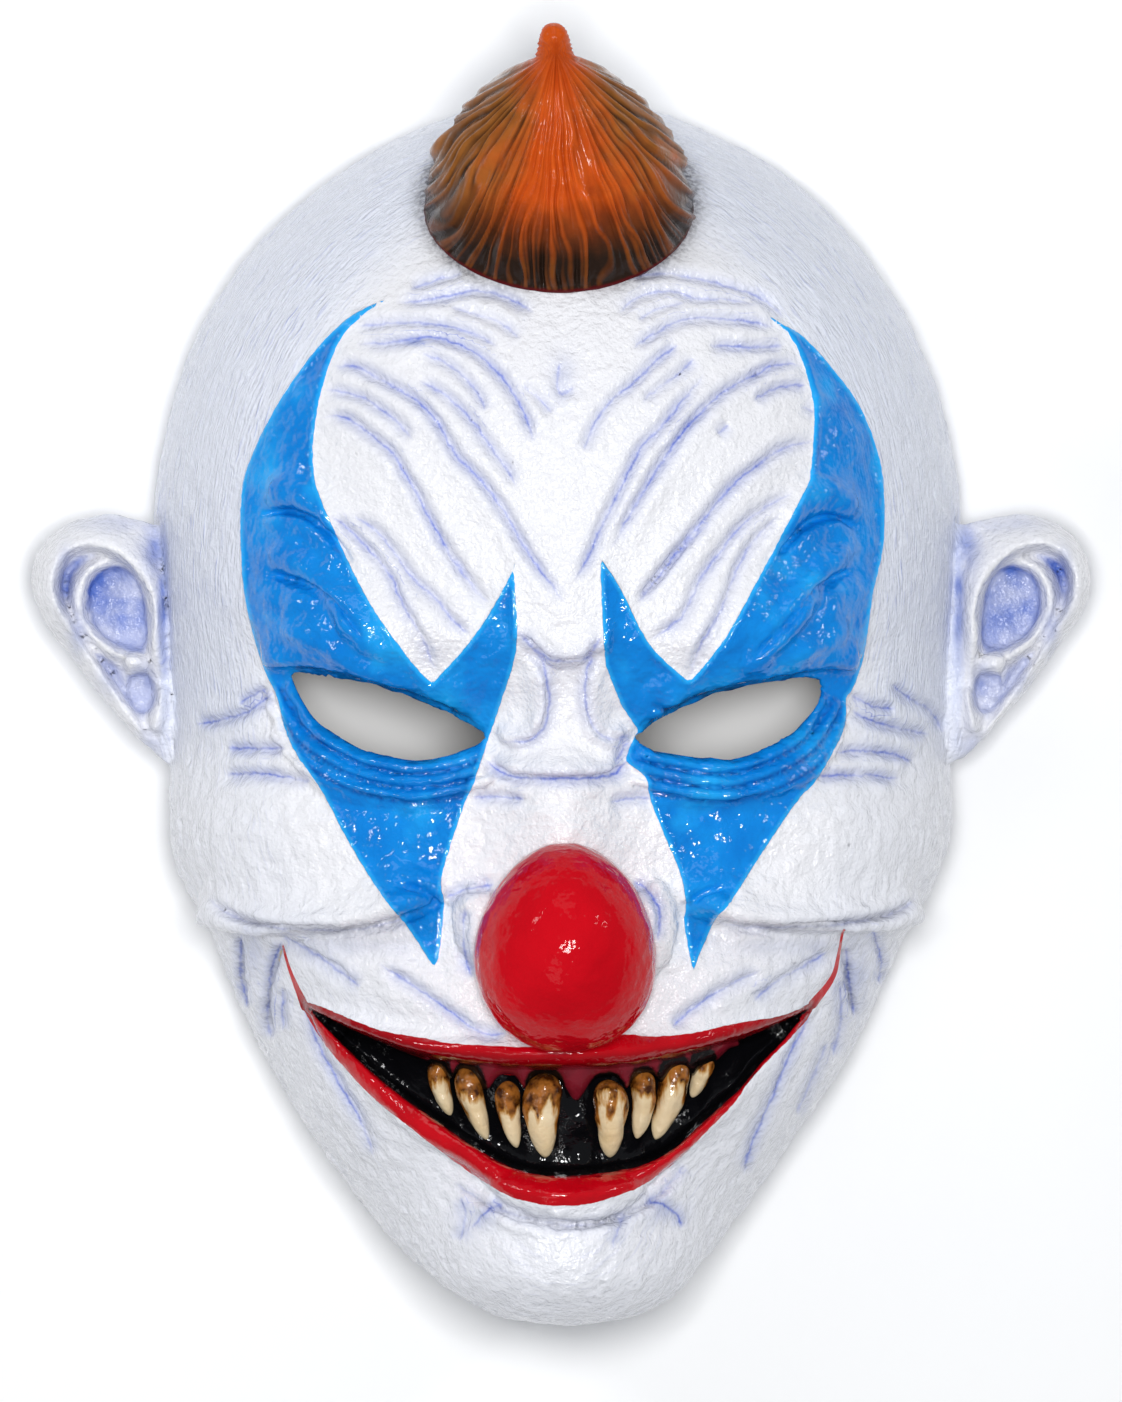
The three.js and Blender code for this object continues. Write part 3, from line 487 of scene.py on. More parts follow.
def inside_of(outline, xy, far=12.0):
    """Signed distance to a closed outline, positive inside."""
    path = smooth(outline, closed=True, steps=4)
    path = np.vstack((path, path[:1]))
    result = np.full(len(xy), -far)
    sub = around(xy, path, far)
    for part in np.array_split(sub, max(1, len(sub) // 20000)):
        if not len(part):
            continue
        p = xy[part]
        distance = nearest(path, p)[0]
        a, b = path[:-1], path[1:]
        crosses = (a[None, :, 1] > p[:, None, 1]) != (b[None, :, 1] > p[:, None, 1])
        rise = np.where(b[:, 1] == a[:, 1], 1e-9, b[:, 1] - a[:, 1])
        at = a[None, :, 0] + (p[:, None, 1] - a[None, :, 1]) / rise[None] * (b - a)[None, :, 0]
        within = (crosses & (p[:, None, 0] < at)).sum(1) % 2 == 1
        result[part] = np.where(within, distance, -distance).clip(-far, far)
    return result


LATTICE = np.random.RandomState(7).rand(32, 32, 32)


def grain(points, size):
    """Smooth noise from -1 to 1 with bumps of about the size."""
    p = points / size + 100
    i = np.floor(p).astype(int)
    f = p - i
    f = f * f * (3 - 2 * f)
    total = np.zeros(len(points))
    for dx in (0, 1):
        for dy in (0, 1):
            for dz in (0, 1):
                weight = (f[:, 0] if dx else 1 - f[:, 0]) * (f[:, 1] if dy else 1 - f[:, 1])
                weight = weight * (f[:, 2] if dz else 1 - f[:, 2])
                total += weight * LATTICE[(i[:, 0] + dx) % 32, (i[:, 1] + dy) % 32, (i[:, 2] + dz) % 32]
    return total * 2 - 1


def deselect():
    bpy.ops.object.select_all(action="DESELECT")


def pick(obj):
    deselect()
    obj.select_set(True)
    bpy.context.view_layer.objects.active = obj


def points_of(obj):
    flat = np.empty(len(obj.data.vertices) * 3)
    obj.data.vertices.foreach_get("co", flat)
    return flat.reshape(-1, 3) * 1000


def move_points(obj, points):
    obj.data.vertices.foreach_set("co", (points / 1000).ravel())
    obj.data.update()


def normals_of(obj):
    flat = np.empty(len(obj.data.vertices) * 3)
    obj.data.vertex_normals.foreach_get("vector", flat)
    return flat.reshape(-1, 3)


def edit(obj):
    """Into edit mode, with all of the mesh selected."""
    pick(obj)
    bpy.ops.object.mode_set(mode="EDIT")
    bpy.ops.mesh.select_all(action="SELECT")


def leave_edit():
    bpy.ops.object.mode_set(mode="OBJECT")


def face_outwards(obj):
    edit(obj)
    bpy.ops.mesh.normals_make_consistent(inside=False)
    leave_edit()


def apply_modifier(obj, kind, **settings):
    pick(obj)
    modifier = obj.modifiers.new("step", kind)
    for key, value in settings.items():
        setattr(modifier, key, value)
    bpy.ops.object.modifier_apply(modifier=modifier.name)


def ball(name, segments, rings, halvings):
    """A closely divided ball of radius one, and the direction of each of its points."""
    deselect()
    bpy.ops.mesh.primitive_uv_sphere_add(segments=segments, ring_count=rings, radius=1)
    obj = bpy.context.object
    obj.name = name
    if halvings:
        apply_modifier(obj, "SUBSURF", subdivision_type="SIMPLE", levels=halvings)
    direction = points_of(obj)
    return obj, direction / np.linalg.norm(direction, axis=1)[:, None]


def head_points(direction):
    """Points of the plain head in the directions of a ball whose poles are the crown and the chin."""
    y = np.clip(direction[:, 1], -1, 1)
    rows = flow(LEVELS, (0.5 - np.arcsin(y) / np.pi) * (len(LEVELS) - 1))
    turn = np.arctan2(direction[:, 2], direction[:, 0])
    across = np.abs(np.cos(turn)) / np.maximum(rows[:, 1], 1e-6)
    out = np.abs(np.sin(turn)) / np.maximum(rows[:, 4] - rows[:, 3], 1e-6)
    radius = (across ** rows[:, 5] + out ** rows[:, 5]) ** (-1 / rows[:, 5])
    x, z = rows[:, 2] + radius * np.cos(turn), rows[:, 3] + radius * np.sin(turn)
    return np.stack((x, rows[:, 0], z), 1)


def head_ball(name, segments, rings, halvings, offset, detailed):
    obj, d = ball(name, segments, rings, halvings)
    base = head_points(np.stack((d[:, 0], d[:, 2], -d[:, 1]), 1))
    move_points(obj, base)
    normal = normals_of(obj)
    middle = level_at(base[:, 1])[2]
    facing = step_up(base[:, 2], middle - 4, middle + 22)
    xy = base[:, :2]
    rise = mounds(FORMS, xy)
    if detailed:
        folds = [("fold", 2.4, 1.1 * min(depth, 1.5), path) for depth, _, path in WRINKLES]
        rise += lobes(LOBES, xy) + lines_height(LINES, xy) + lines_height(folds, xy)
        rise += lids_shape(xy)[0]
    points = base + normal * (offset + rise * facing)[:, None]
    # the mouth is a pocket pressed into the face, with the wall's thickness round it
    deep = inside_of(MOUTH, points[:, :2])
    edge = 0 if detailed else -WALL
    front = points[:, 2] > 40
    points[:, 2] -= np.where(front, MOUTH_DEPTH * step_up(deep, edge - 0.5, edge + 1.7), 0)
    move_points(obj, points)
    return obj


def prism(name, outline, low, high):
    """A straight column over a closed outline, to cut a hole with."""
    path = smooth(outline, closed=True, steps=3)
    deselect()
    bpy.ops.mesh.primitive_circle_add(vertices=len(path), radius=1, fill_type="NGON")
    obj = bpy.context.object
    obj.name = name
    area = (path[:, 0] * np.roll(path[:, 1], -1) - path[:, 1] * np.roll(path[:, 0], -1)).sum()
    ordered = path if area > 0 else path[::-1]
    move_points(obj, np.column_stack((ordered, np.full(len(path), low))))
    edit(obj)
    bpy.ops.mesh.extrude_region_move(TRANSFORM_OT_translate={"value": (0, 0, (high - low) / 1000)})
    leave_edit()
    face_outwards(obj)
    return obj


def combine(obj, others, operation):
    for other in others:
        apply_modifier(obj, "BOOLEAN", operation=operation, object=other, solver="MANIFOLD")


def clean(obj):
    """Leaves one closed body: slivers, points halfway along an edge and loose bits go."""
    edit(obj)
    bpy.ops.mesh.remove_doubles(threshold=SLIVER / 1000)
    bpy.ops.mesh.dissolve_degenerate(threshold=SLIVER / 1000)
    bpy.ops.mesh.select_all(action="DESELECT")
    leave_edit()
    ends = np.empty(2 * len(obj.data.edges), int)
    obj.data.edges.foreach_get("vertices", ends)
    obj.data.vertices.foreach_set("select", np.bincount(ends, minlength=len(obj.data.vertices)) == 2)
    bpy.ops.object.mode_set(mode="EDIT")
    bpy.ops.mesh.dissolve_verts()
    bpy.ops.mesh.select_all(action="DESELECT")
    leave_edit()
    # what isn't joined to the lowest point of the body goes
    obj.data.vertices[int(points_of(obj)[:, 1].argmin())].select = True
    bpy.ops.object.mode_set(mode="EDIT")
    bpy.ops.mesh.select_linked()
    bpy.ops.mesh.select_all(action="INVERT")
    bpy.ops.mesh.delete(type="VERT")
    leave_edit()


def remove(objects):
    for obj in objects:
        bpy.data.objects.remove(obj)


def ear_relief(xy, side):
    """Height of the rolled rim, the inner ridge and the bowls of an ear, falling away into the head."""
    xy = xy + (EAR_SHIFT[side], 0)
    relief = lines_height(EAR_LINES, xy) + lobes(EAR_KNOBS, xy)
    for middle, radii, depth, turn in EAR_BOWLS:
        relief -= depth * step_up(1.15 - np.sqrt(spread((middle, radii, 0, turn), xy)), 0, 0.4)
    return relief * step_up(xy[:, 0], 87.5, 92.5)


def ear(side):
    obj, d = ball("ear", 48, 24, 2)
    rim = smooth(EAR_OUTLINE, closed=True)
    rim = np.vstack((rim, rim[:1]))
    mx, my = EAR_MIDDLE
    start = math.atan2(rim[0, 1] - my, rim[0, 0] - mx)
    turn = ((start - np.arctan2(d[:, 1], d[:, 0] * side)) / (2 * np.pi) + 1) % 1
    place = turn * (len(rim) - 1)
    edge = np.stack([np.interp(place, np.arange(len(rim)), rim[:, k]) for k in (0, 1)], 1)
    share = np.hypot(d[:, 0], d[:, 1])[:, None]
    xy = np.array(EAR_MIDDLE) + (edge - EAR_MIDDLE) * share
    relief = np.maximum(ear_relief(xy, side), -0.9 * EAR_THICKNESS * d[:, 2])
    face = EAR_THICKNESS * d[:, 2] + np.where(d[:, 2] > 0, relief * np.minimum(1, d[:, 2] * 3), 0)
    z = EAR_DEPTH - (xy[:, 0] - mx) * 0.15 + face
    move_points(obj, np.stack((xy[:, 0] * side, xy[:, 1], z), 1))
    return obj


def nose_points(direction, shrink):
    rx, ry, rz = (radius - shrink for radius in NOSE_RADII)
    deep = np.where(direction[:, 2] < 0, rz + shrink * 4, rz)
    pinch = 1 - NOSE_TAPER * direction[:, 1]
    local = np.stack((rx * direction[:, 0] * pinch, ry * direction[:, 1], deep * direction[:, 2]), 1)
    return local + NOSE_MIDDLE


def tuft_place(local):
    """From the tuft's own upright frame to its place, leaning back from the crown."""
    c, s = math.cos(-TUFT_TILT), math.sin(-TUFT_TILT)
    x = local[:, 0] + TUFT_LEAN * np.maximum(0, local[:, 2] / TUFT_PROFILE[-1, 1]) ** 2
    y = local[:, 1] * c - local[:, 2] * s
    z = local[:, 1] * s + local[:, 2] * c
    return np.stack((x, y, z), 1) + TUFT_FOOT


def tuft_hollow_points(direction):
    t = (0.5 + np.arcsin(np.clip(direction[:, 2], -1, 1)) / np.pi) * (len(TUFT_PROFILE) - 1)
    radius, height = flow(TUFT_PROFILE, t).T
    radius = np.maximum(0, radius - WALL * np.minimum(1, radius / 8))
    turn = np.arctan2(direction[:, 1], direction[:, 0])
    return tuft_place(np.stack((radius * np.cos(turn), radius * np.sin(turn), height - WALL * 1.6), 1))


skin = head_ball("skin", 96, 64, 3, 0, True)
ears = [ear(1), ear(-1)]
hollow = head_ball("hollow", 64, 48, 2, -WALL, False)
nose_hollow, d = ball("nose_hollow", 48, 32, 0)
move_points(nose_hollow, nose_points(d, WALL))
tuft_hollow, d = ball("tuft_hollow", 48, 32, 1)
move_points(tuft_hollow, tuft_hollow_points(d))
eye_holes = [prism("eye_hole", outline, 50, 180) for outline in (EYE_LEFT, EYE_RIGHT)]
bpy.ops.mesh.primitive_cube_add(size=0.6, location=(0, 0, -0.3))
ground = bpy.context.object
combine(skin, ears, "UNION")
combine(hollow, [nose_hollow, tuft_hollow, *eye_holes, ground], "UNION")
combine(skin, [hollow], "DIFFERENCE")
remove([*ears, *eye_holes, nose_hollow, tuft_hollow, ground])

pick(skin)
skin.data.remesh_voxel_size = VOXEL / 1000
bpy.ops.object.voxel_remesh()


def wrinkles_height(xy):
    """Depth of the thin wrinkles, with the skin swollen a little along both sides of each."""
    total = np.zeros(len(xy))
    for depth, _, points in WRINKLES:
        sub, distance, _, share = beside(points, xy, 7)
        fade = depth * taper(share, 0.12)
        swell = 0.3 * np.exp(-((distance - 2.2) / 1.6) ** 2)
        total[sub] += fade * (swell - np.exp(-(distance / 0.75) ** 2))
    return total


def outwardness(points, normal, mouth):
    """Over 0 on the painted outside, and under 0 on the bare inside."""
    y = np.clip(points[:, 1], -85, 80)
    core = np.stack((0 * y, y, 0 * y + 25), 1)
    away = ((points - core) * normal).sum(1) / np.linalg.norm(points - core, axis=1)
    half, centre, middle, front, square = level_at(points[:, 1])
    across = np.abs(points[:, 0] - centre) / np.maximum(half, 1)
    out = np.abs(points[:, 2] - middle) / np.maximum(front - middle, 1)
    beyond = (across ** square + out ** square) ** (1 / square) > 1 - 1.8 / np.maximum(half, 20)
    away = np.where(beyond & (points[:, 2] < 62) & (points[:, 2] > 0.3), 1, away)
    pocket = (mouth > -1.5) & (points[:, 2] > 60) & (normal[:, 2] > -0.35)
    return np.where(pocket, 1, away)


points = points_of(skin)
normal = normals_of(skin)
xy = points[:, :2]
mouth = inside_of(MOUTH, xy)
outer = step_up(outwardness(points, normal, mouth), 0, 0.35)
blue = np.maximum(inside_of(BLUE_LEFT, xy), inside_of(BLUE_RIGHT, xy))
fine = wrinkles_height(xy) * np.clip(1 - mouth, 0, 1) - 0.9 * lids_shape(xy)[1]
fine = fine + 0.35 * step_up(blue, -0.3, 0.5) + 0.4 * np.exp(-((blue - 0.7) / 0.5) ** 2)
smoother = np.maximum(step_up(blue, 0, 0.6), step_up(inside_of(LIPS, xy), 0, 0.6))
pebbly = (0.6 + 0.5 * step_up(-xy[:, 1], 0, 25)) * (1 - 0.85 * smoother)
lumps = 0.28 * (1 - 0.5 * smoother) * grain(points, 6) + 0.5 * pebbly * grain(points + 40, 2.3)
lumps = lumps + 0.55 * step_up(blue, 0, 2) * grain(points + 70, 4)
lumps = lumps + 1.1 * step_up(mouth, 1, 3) * grain(points + 90, 5)
points += normal * ((fine * step_up(points[:, 2], 20, 40) + lumps) * outer)[:, None]
points[:, 2] = np.maximum(points[:, 2], 0)
move_points(skin, points)

count = sum(len(p.vertices) - 2 for p in skin.data.polygons)
apply_modifier(skin, "DECIMATE", ratio=MOST_TRIANGLES / count)
clean(skin)


def set_value(obj, name, values):
    layer = obj.data.attributes.new(name, "FLOAT", "POINT")
    layer.data.foreach_set("value", np.asarray(values, dtype=np.float32))


points = points_of(skin)
normal = normals_of(skin)
xy = points[:, :2]
mouth = inside_of(MOUTH, xy)
outward = outwardness(points, normal, mouth)
lips = inside_of(LIPS, xy)
smile = np.full(len(xy), 2.5)
smiling = np.zeros(len(xy))
for line in SMILE_LINES:
    sub, distance, side, share = beside(line, xy, 4)
    smile[sub] = np.clip(side * distance / (0.8 + 2.2 * (1 - share) ** 3), -2.5, 2.5)
    smiling[sub] = step_up(-distance, -2.2, -1.4) * np.minimum(1, (1 - share) / 0.3)
crease = np.full(len(xy), 2.5)
creased = np.zeros(len(xy))
near = np.full(len(xy), 9.0)
stain = np.zeros(len(xy))
shade_and_overspray = np.zeros(len(xy))
for depth, strength, line in WRINKLES:
    sub, distance, side, share = beside(line, xy, 6)
    fade = strength * taper(share, 0.1)
    stain[sub] = np.maximum(stain[sub], 0.4 * fade * np.exp(-(distance / 1.9) ** 2))
    # the deeper creases also get a thin dark grey line of painted shade, where the overhang above them
    # would cast its shadow
    if depth > 1.2 and strength:
        crease_shade = taper(share, 0.3) * np.exp(-(distance / 0.75) ** 2)
        shade_and_overspray[sub] = np.maximum(shade_and_overspray[sub], 0.55 * crease_shade)
    closer = distance < near[sub]
    sub, distance, side, fade = sub[closer], distance[closer], side[closer], fade[closer]
    near[sub] = distance
    crease[sub] = np.clip(side * distance, -2.5, 2.5)
    creased[sub] = fade * step_up(-distance, -2.2, -1.4)
for middle, radii, strength in STAINS:
    stain = np.maximum(stain, strength * np.exp(-spread((middle, radii, 0, 0), xy)))
stain = stain * step_up(points[:, 2], 24, 36)
# the upper edge of the mouth, where the red of the lip turns in
under_lip = nearest(smooth(MOUTH[1:13]), xy)[0]
lip_edge = step_up(-under_lip, -3.4, -2.2) * np.clip(1.3 - np.abs(xy[:, 0]) / 40, 0, 1)
for side in (1, -1):
    by = np.flatnonzero((side * xy[:, 0] > 89) & (np.abs(xy[:, 1] - 8) < 29) & (normal[:, 2] > 0.1))
    relief = ear_relief(xy[by] * (side, 1), side)
    fading = 0.6 + 0.4 * step_up(xy[by, 1], 2, 20)
    stain[by] = np.maximum(stain[by], fading * step_up(-relief, -0.9, 1.6))
aside = points - (0, 10, 0)
out = np.hypot(aside[:, 0] / 88, aside[:, 1] / 128)
beside_ear = step_up(np.abs(xy[:, 0]), 89.5, 91) * step_up(-np.abs(xy[:, 1] - 8), -30, -27)
beside_ear = beside_ear * step_up(points[:, 2], 26, 31)
upper = 0.25 + 0.75 * step_up(xy[:, 1], -30, 0)
# dark airbrushed overspray on the skin at the sides of the tuft's foot; it is stored in one value
# together with the painted shade in the deep creases
off_foot = (np.hypot((xy[:, 0] + 0.5) / 29.5, (xy[:, 1] - 107) / 21.5) - 1) * 26
foot_soot = np.exp(-(off_foot / 2.8) ** 2) * np.clip(np.abs(xy[:, 0]) / 22 - 0.1, 0, 1)
foot_soot = foot_soot * step_up(points[:, 2], 58, 70)
for name, values in {
    "blue": np.maximum(inside_of(BLUE_LEFT, xy), inside_of(BLUE_RIGHT, xy)),
    "red": lips, "lids": lids_shape(xy)[1], "smile": smile, "smiling": smiling,
    "mouth": mouth - 2.4 * lip_edge, "stain": stain, "under": np.exp(-(under_lip / 2.2) ** 2),
    "crease": crease, "creased": creased, "outside": outward,
    "bearing": np.arctan2(np.abs(aside[:, 0]), aside[:, 1]) * 60, "across": out * 100 - aside[:, 2],
    "temple": step_up(out, 0.72, 0.86) * (1 - beside_ear) * upper,
    "shade_and_overspray": np.maximum(shade_and_overspray * (points[:, 2] > 40), foot_soot),
}.items():
    set_value(skin, name, values)


class Shader:
    """A short way to write a material's nodes."""

    def __init__(self, name):
        self.material = bpy.data.materials.new(name)
        self.material.use_nodes = True
        self.nodes, self.links = self.material.node_tree.nodes, self.material.node_tree.links
        self.surface = self.nodes["Principled BSDF"]

    def put(self, value, socket):
        if hasattr(value, "is_linked"):
            self.links.new(value, socket)
        else:
            socket.default_value = value

    def add(self, kind, inputs, output=0, **settings):
        """A new node with these inputs and settings, of which one output is used."""
        node = self.nodes.new("ShaderNode" + kind)
        for key, value in settings.items():
            setattr(node, key, value)
        for key, value in inputs.items():
            self.put(value, node.inputs[key])
        return node.outputs[output]

    def attribute(self, name):
        return self.add("Attribute", {}, "Fac", attribute_name=name)

    def place(self):
        return self.add("TexCoord", {}, "Object")

    def stretched(self, scale):
        return self.add("Mapping", {"Vector": self.place(), "Scale": scale})

    def noise(self, scale, detail=3, vector=None):
        vector = vector or self.place()
        return self.add("TexNoise", {"Vector": vector, "Scale": scale, "Detail": detail}, "Fac")

    def math(self, operation, a, b=0.0):
        return self.add("Math", {0: a, 1: b}, operation=operation)

    def times(self, a, b):
        return self.math("MULTIPLY", a, b)

    def plus(self, a, b):
        return self.math("ADD", a, b)

    def minus(self, a, b):
        return self.math("SUBTRACT", a, b)

    def bell(self, x):
        """1 where x is 0, falling away smoothly on both sides."""
        return self.math("POWER", 2.718, self.times(self.math("POWER", x, 2), -1))

    def ramp(self, value, low, high):
        """0 below low, 1 above high, and straight between."""
        return self.add("MapRange", {"Value": value, "From Min": low, "From Max": high})

    def mix(self, share, a, b):
        a, b = ((*colour, 1) if isinstance(colour, tuple) else colour for colour in (a, b))
        return self.add("Mix", {0: share, 6: a, 7: b}, 2, data_type="RGBA")

    def mottled(self, scale, detail, a, b):
        return self.mix(self.noise(scale, detail), a, b)

    def bump(self, height, distance, strength=1.0):
        bump = self.add("Bump", {"Strength": strength, "Distance": distance, "Height": height})
        self.put(bump, self.surface.inputs["Normal"])

    def roughness(self, scale, low, high):
        """Gloss that varies a little over the surface, from one roughness to another."""
        self.put(self.mottled(scale, 3, (low,) * 3, (high,) * 3), self.surface.inputs["Roughness"])

    def cover(self, obj, colour, specular=0.5):
        """Gives the surface its colour, and the piece this material and smooth shading."""
        self.put(colour, self.surface.inputs["Base Color"])
        self.surface.inputs["Specular IOR Level"].default_value = specular
        obj.data.materials.clear()
        obj.data.materials.append(self.material)
        obj.data.polygons.foreach_set("use_smooth", np.ones(len(obj.data.polygons), bool))


s = Shader("white_latex")
wobble = s.times(s.minus(s.noise(500, 2), 0.5), 0.5)
is_blue = s.ramp(s.plus(s.attribute("blue"), wobble), -0.06, 0.06)
is_red = s.ramp(s.plus(s.attribute("red"), wobble), -0.06, 0.06)
smile_line = s.math("LESS_THAN", s.math("ABSOLUTE", s.attribute("smile")), 0.34)
smile_line = s.times(smile_line, s.ramp(s.attribute("smiling"), 0.45, 0.55))
is_red = s.math("MAXIMUM", is_red, smile_line)
is_mouth = s.ramp(s.plus(s.attribute("mouth"), wobble), -0.06, 0.06)
is_outside = s.ramp(s.attribute("outside"), -0.4, -0.25)

# the violet wash: a thin broken line in each wrinkle, a speckled halo, pools, strokes at the temples
jitter = s.times(s.minus(s.noise(420, 3), 0.5), 1.3)
away = s.plus(s.attribute("crease"), jitter)
patchy = s.ramp(s.noise(130, 4), 0.3, 0.62)
speckle = s.ramp(s.noise(900, 3), 0.4, 0.62)
core = s.times(s.bell(s.times(away, 3.2)), s.plus(0.22, s.times(patchy, 0.55)))
halo = s.times(s.bell(s.times(away, 0.8)), s.times(speckle, s.times(patchy, 0.24)))
lines = s.times(s.plus(core, halo), s.attribute("creased"))
polar = s.add("CombineXYZ", {"X": s.times(s.attribute("bearing"), 0.22), "Y": s.attribute("across")})
stroke = s.noise(0.9, 3, polar)
strokes = s.times(s.ramp(stroke, 0.56, 0.7), s.attribute("temple"))
strokes = s.times(strokes, s.plus(0.3, s.ramp(s.noise(28, 3), 0.46, 0.62)))
pools = s.times(s.attribute("stain"), s.plus(0.45, s.times(patchy, 0.55)))
wash = s.plus(lines, s.times(strokes, 0.34))
white = s.mottled(30, 3, (0.83, 0.83, 0.87), (0.88, 0.88, 0.91))
# the head's sides towards the temples turn greyer and bluer: painted shade where the head turns away
# from the light
white = s.mix(s.attribute("temple"), white, (0.8, 0.83, 0.93))
colour = s.mix(s.ramp(pools, 0.0, 1.0), white, (0.1, 0.18, 0.56))
colour = s.mix(s.ramp(wash, 0.0, 1.0), colour, (0.12, 0.18, 0.62))
# dark grey over the skin: painted shade in the deep creases, and the airbrushed overspray beside the
# tuft's foot
shade_and_overspray = s.times(s.attribute("shade_and_overspray"), s.plus(0.5, s.times(speckle, 0.45)))
colour = s.mix(shade_and_overspray, colour, (0.05, 0.05, 0.065))
blue_paint = s.mottled(120, 4, (0.0, 0.14, 0.55), (0.006, 0.31, 0.84))
blue_paint = s.mix(s.ramp(s.noise(55, 3), 0.52, 0.72), blue_paint, (0.015, 0.4, 0.9))
# darker blue in the creases between the rolls under the eyes: painted shade
blue_paint = s.mix(s.times(s.attribute("lids"), 0.85), blue_paint, (0.0, 0.05, 0.3))
# lighter cyan along the raised edge of the blue paint: a painted highlight
blue_paint = s.mix(s.ramp(s.attribute("blue"), 1.1, 0.1), blue_paint, (0.02, 0.42, 0.92))
colour = s.mix(is_blue, colour, blue_paint)
red_paint = s.mottled(150, 3, (0.4, 0.0, 0.005), (0.62, 0.003, 0.01))
# the upper lip darker red along its edge into the mouth: painted shade under the lip
red_paint = s.mix(s.times(s.attribute("under"), 0.7), red_paint, (0.13, 0.0, 0.002))
colour = s.mix(is_red, colour, red_paint)
colour = s.mix(is_mouth, colour, (0.003, 0.003, 0.004))
colour = s.mix(is_outside, (0.7, 0.58, 0.4), colour)
s.cover(skin, colour, 0.38)
painted = s.math("MAXIMUM", is_blue, s.math("MAXIMUM", is_red, is_mouth))
latex_gloss = s.mottled(200, 3, (0.12, 0.12, 0.12), (0.3, 0.3, 0.3))
gloss = s.mix(painted, latex_gloss, (0.06, 0.06, 0.06))
s.put(s.mix(is_outside, (0.75, 0.75, 0.75), gloss), s.surface.inputs["Roughness"])
pores = s.plus(s.noise(600, 2), s.times(s.noise(1500, 2), 0.3))
pores = s.plus(pores, s.times(s.times(stroke, s.attribute("temple")), 1.4))
film = s.times(s.noise(230, 2), s.minus(1.7, s.times(is_red, 1.1)))
pores = s.times(pores, s.minus(1, s.times(painted, 0.75)))
s.bump(s.plus(pores, s.times(film, painted)), 0.001, 0.7)
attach(skin, "root")
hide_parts("mask")

# Nose: a ball of thick glossy red latex, egg-shaped and narrower at the top, hollow behind and cast on
# to the face all round.
nose, d = ball("nose", 128, 80, 1)
egg = nose_points(d, 0)
egg = egg + d * (0.25 * grain(egg, 10) + 0.16 * grain(egg + 30, 3.4))[:, None]
move_points(nose, egg)
combine(nose, [hollow], "DIFFERENCE")
clean(nose)
s = Shader("nose_red")
s.cover(nose, s.mottled(60, 4, (0.42, 0.001, 0.006), (0.68, 0.005, 0.013)), 0.1)
s.roughness(180, 0.05, 0.1)
s.bump(s.noise(260, 2), 0.001, 0.5)
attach(nose, "root")
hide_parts("mask")

# Tuft: a point of moulded latex hair on the crown, 60 mm across, cast on to the head. Its strands run
# from the tip to a flared foot, orange in front, amber at the sides and near black at the foot.
FAN_MIDDLE = (-1.2, 140)
THICK, MEDIUM, THIN = 21, 46, 97
tuft, d = ball("tuft", 180, 30, 2)
t = (0.5 + np.arcsin(np.clip(d[:, 2], -1, 1)) / np.pi) * (len(TUFT_PROFILE) - 1)
radius, height = flow(TUFT_PROFILE, t).T
turn = np.arctan2(d[:, 1], d[:, 0])
plain = tuft_place(np.stack((radius * np.cos(turn), radius * np.sin(turn), height), 1))
x, y = plain[:, 0], plain[:, 1]
above = plain[:, 2] - face_depth(x, np.minimum(y, 122)) + np.maximum(0, y - 112)
# strands radiate from the root of the tip; thin ones show between the thick ones further out
out = np.hypot(x - FAN_MIDDLE[0], y - FAN_MIDDLE[1])
fan = np.arctan2(x - FAN_MIDDLE[0], FAN_MIDDLE[1] - y)
noisy = np.stack((np.cos(fan) * 9, np.sin(fan) * 9, out / 8), 1)
along = np.stack((fan * 6, out / 40, 0 * fan), 1)
fan = fan + 0.045 * grain(noisy, 1.7) + 0.022 * grain(noisy + 9, 0.7) + 0.05 * grain(along, 1)
coarse = np.abs(np.sin(THICK * fan + 0.6)) - 0.6
middle = np.abs(np.sin(MEDIUM * fan + 1.5 * grain(noisy + 20, 2))) - 0.6
thin = np.abs(np.sin(THIN * fan + 2.5 * grain(noisy + 30, 1.5))) - 0.6
mid_share = step_up(out, 9, 20)
thin_share = step_up(out, 18, 34)
strand = coarse * 0.6 + middle * 0.9 * mid_share + thin * 0.5 * thin_share
strand = strand * (0.85 + 0.6 * grain(noisy + 40, 1.1)) + 0.5 * grain(along * (3, 1, 1) + 60, 1)
carve = np.minimum(1, np.maximum(radius - 2.2, 0) / 4.5) * step_up(above, 0.6, 3.2)
lip = 0.5 * np.exp(-((above - 0.7) / 0.7) ** 2)
outer = radius + strand * carve * 1.35 + lip
move_points(tuft, tuft_place(np.stack((outer * np.cos(turn), outer * np.sin(turn), height), 1)))
set_value(tuft, "groove", coarse * 0.6 + middle * mid_share + thin * 0.7 * thin_share)
set_value(tuft, "rise", height)
set_value(tuft, "above", above)
set_value(tuft, "aside", np.where(fan > 0, 0.85, 1.1) * np.abs(fan) * 180 / np.pi)
combine(tuft, [hollow], "DIFFERENCE")
clean(tuft)
s = Shader("hair_orange")
patch = s.times(s.minus(s.noise(140, 3), 0.5), 30)
tip = s.ramp(s.attribute("rise"), 36, 46)
side = s.ramp(s.plus(s.attribute("aside"), patch), 12, 40)
side = s.times(side, s.minus(1, tip))
foot = s.ramp(s.plus(s.attribute("above"), s.times(patch, 0.3)), 28, 9)
orange = s.mottled(200, 3, (0.5, 0.055, 0.006), (0.72, 0.12, 0.012))
amber = s.mottled(200, 3, (0.16, 0.05, 0.008), (0.38, 0.14, 0.03))
ridge = s.mix(side, orange, amber)
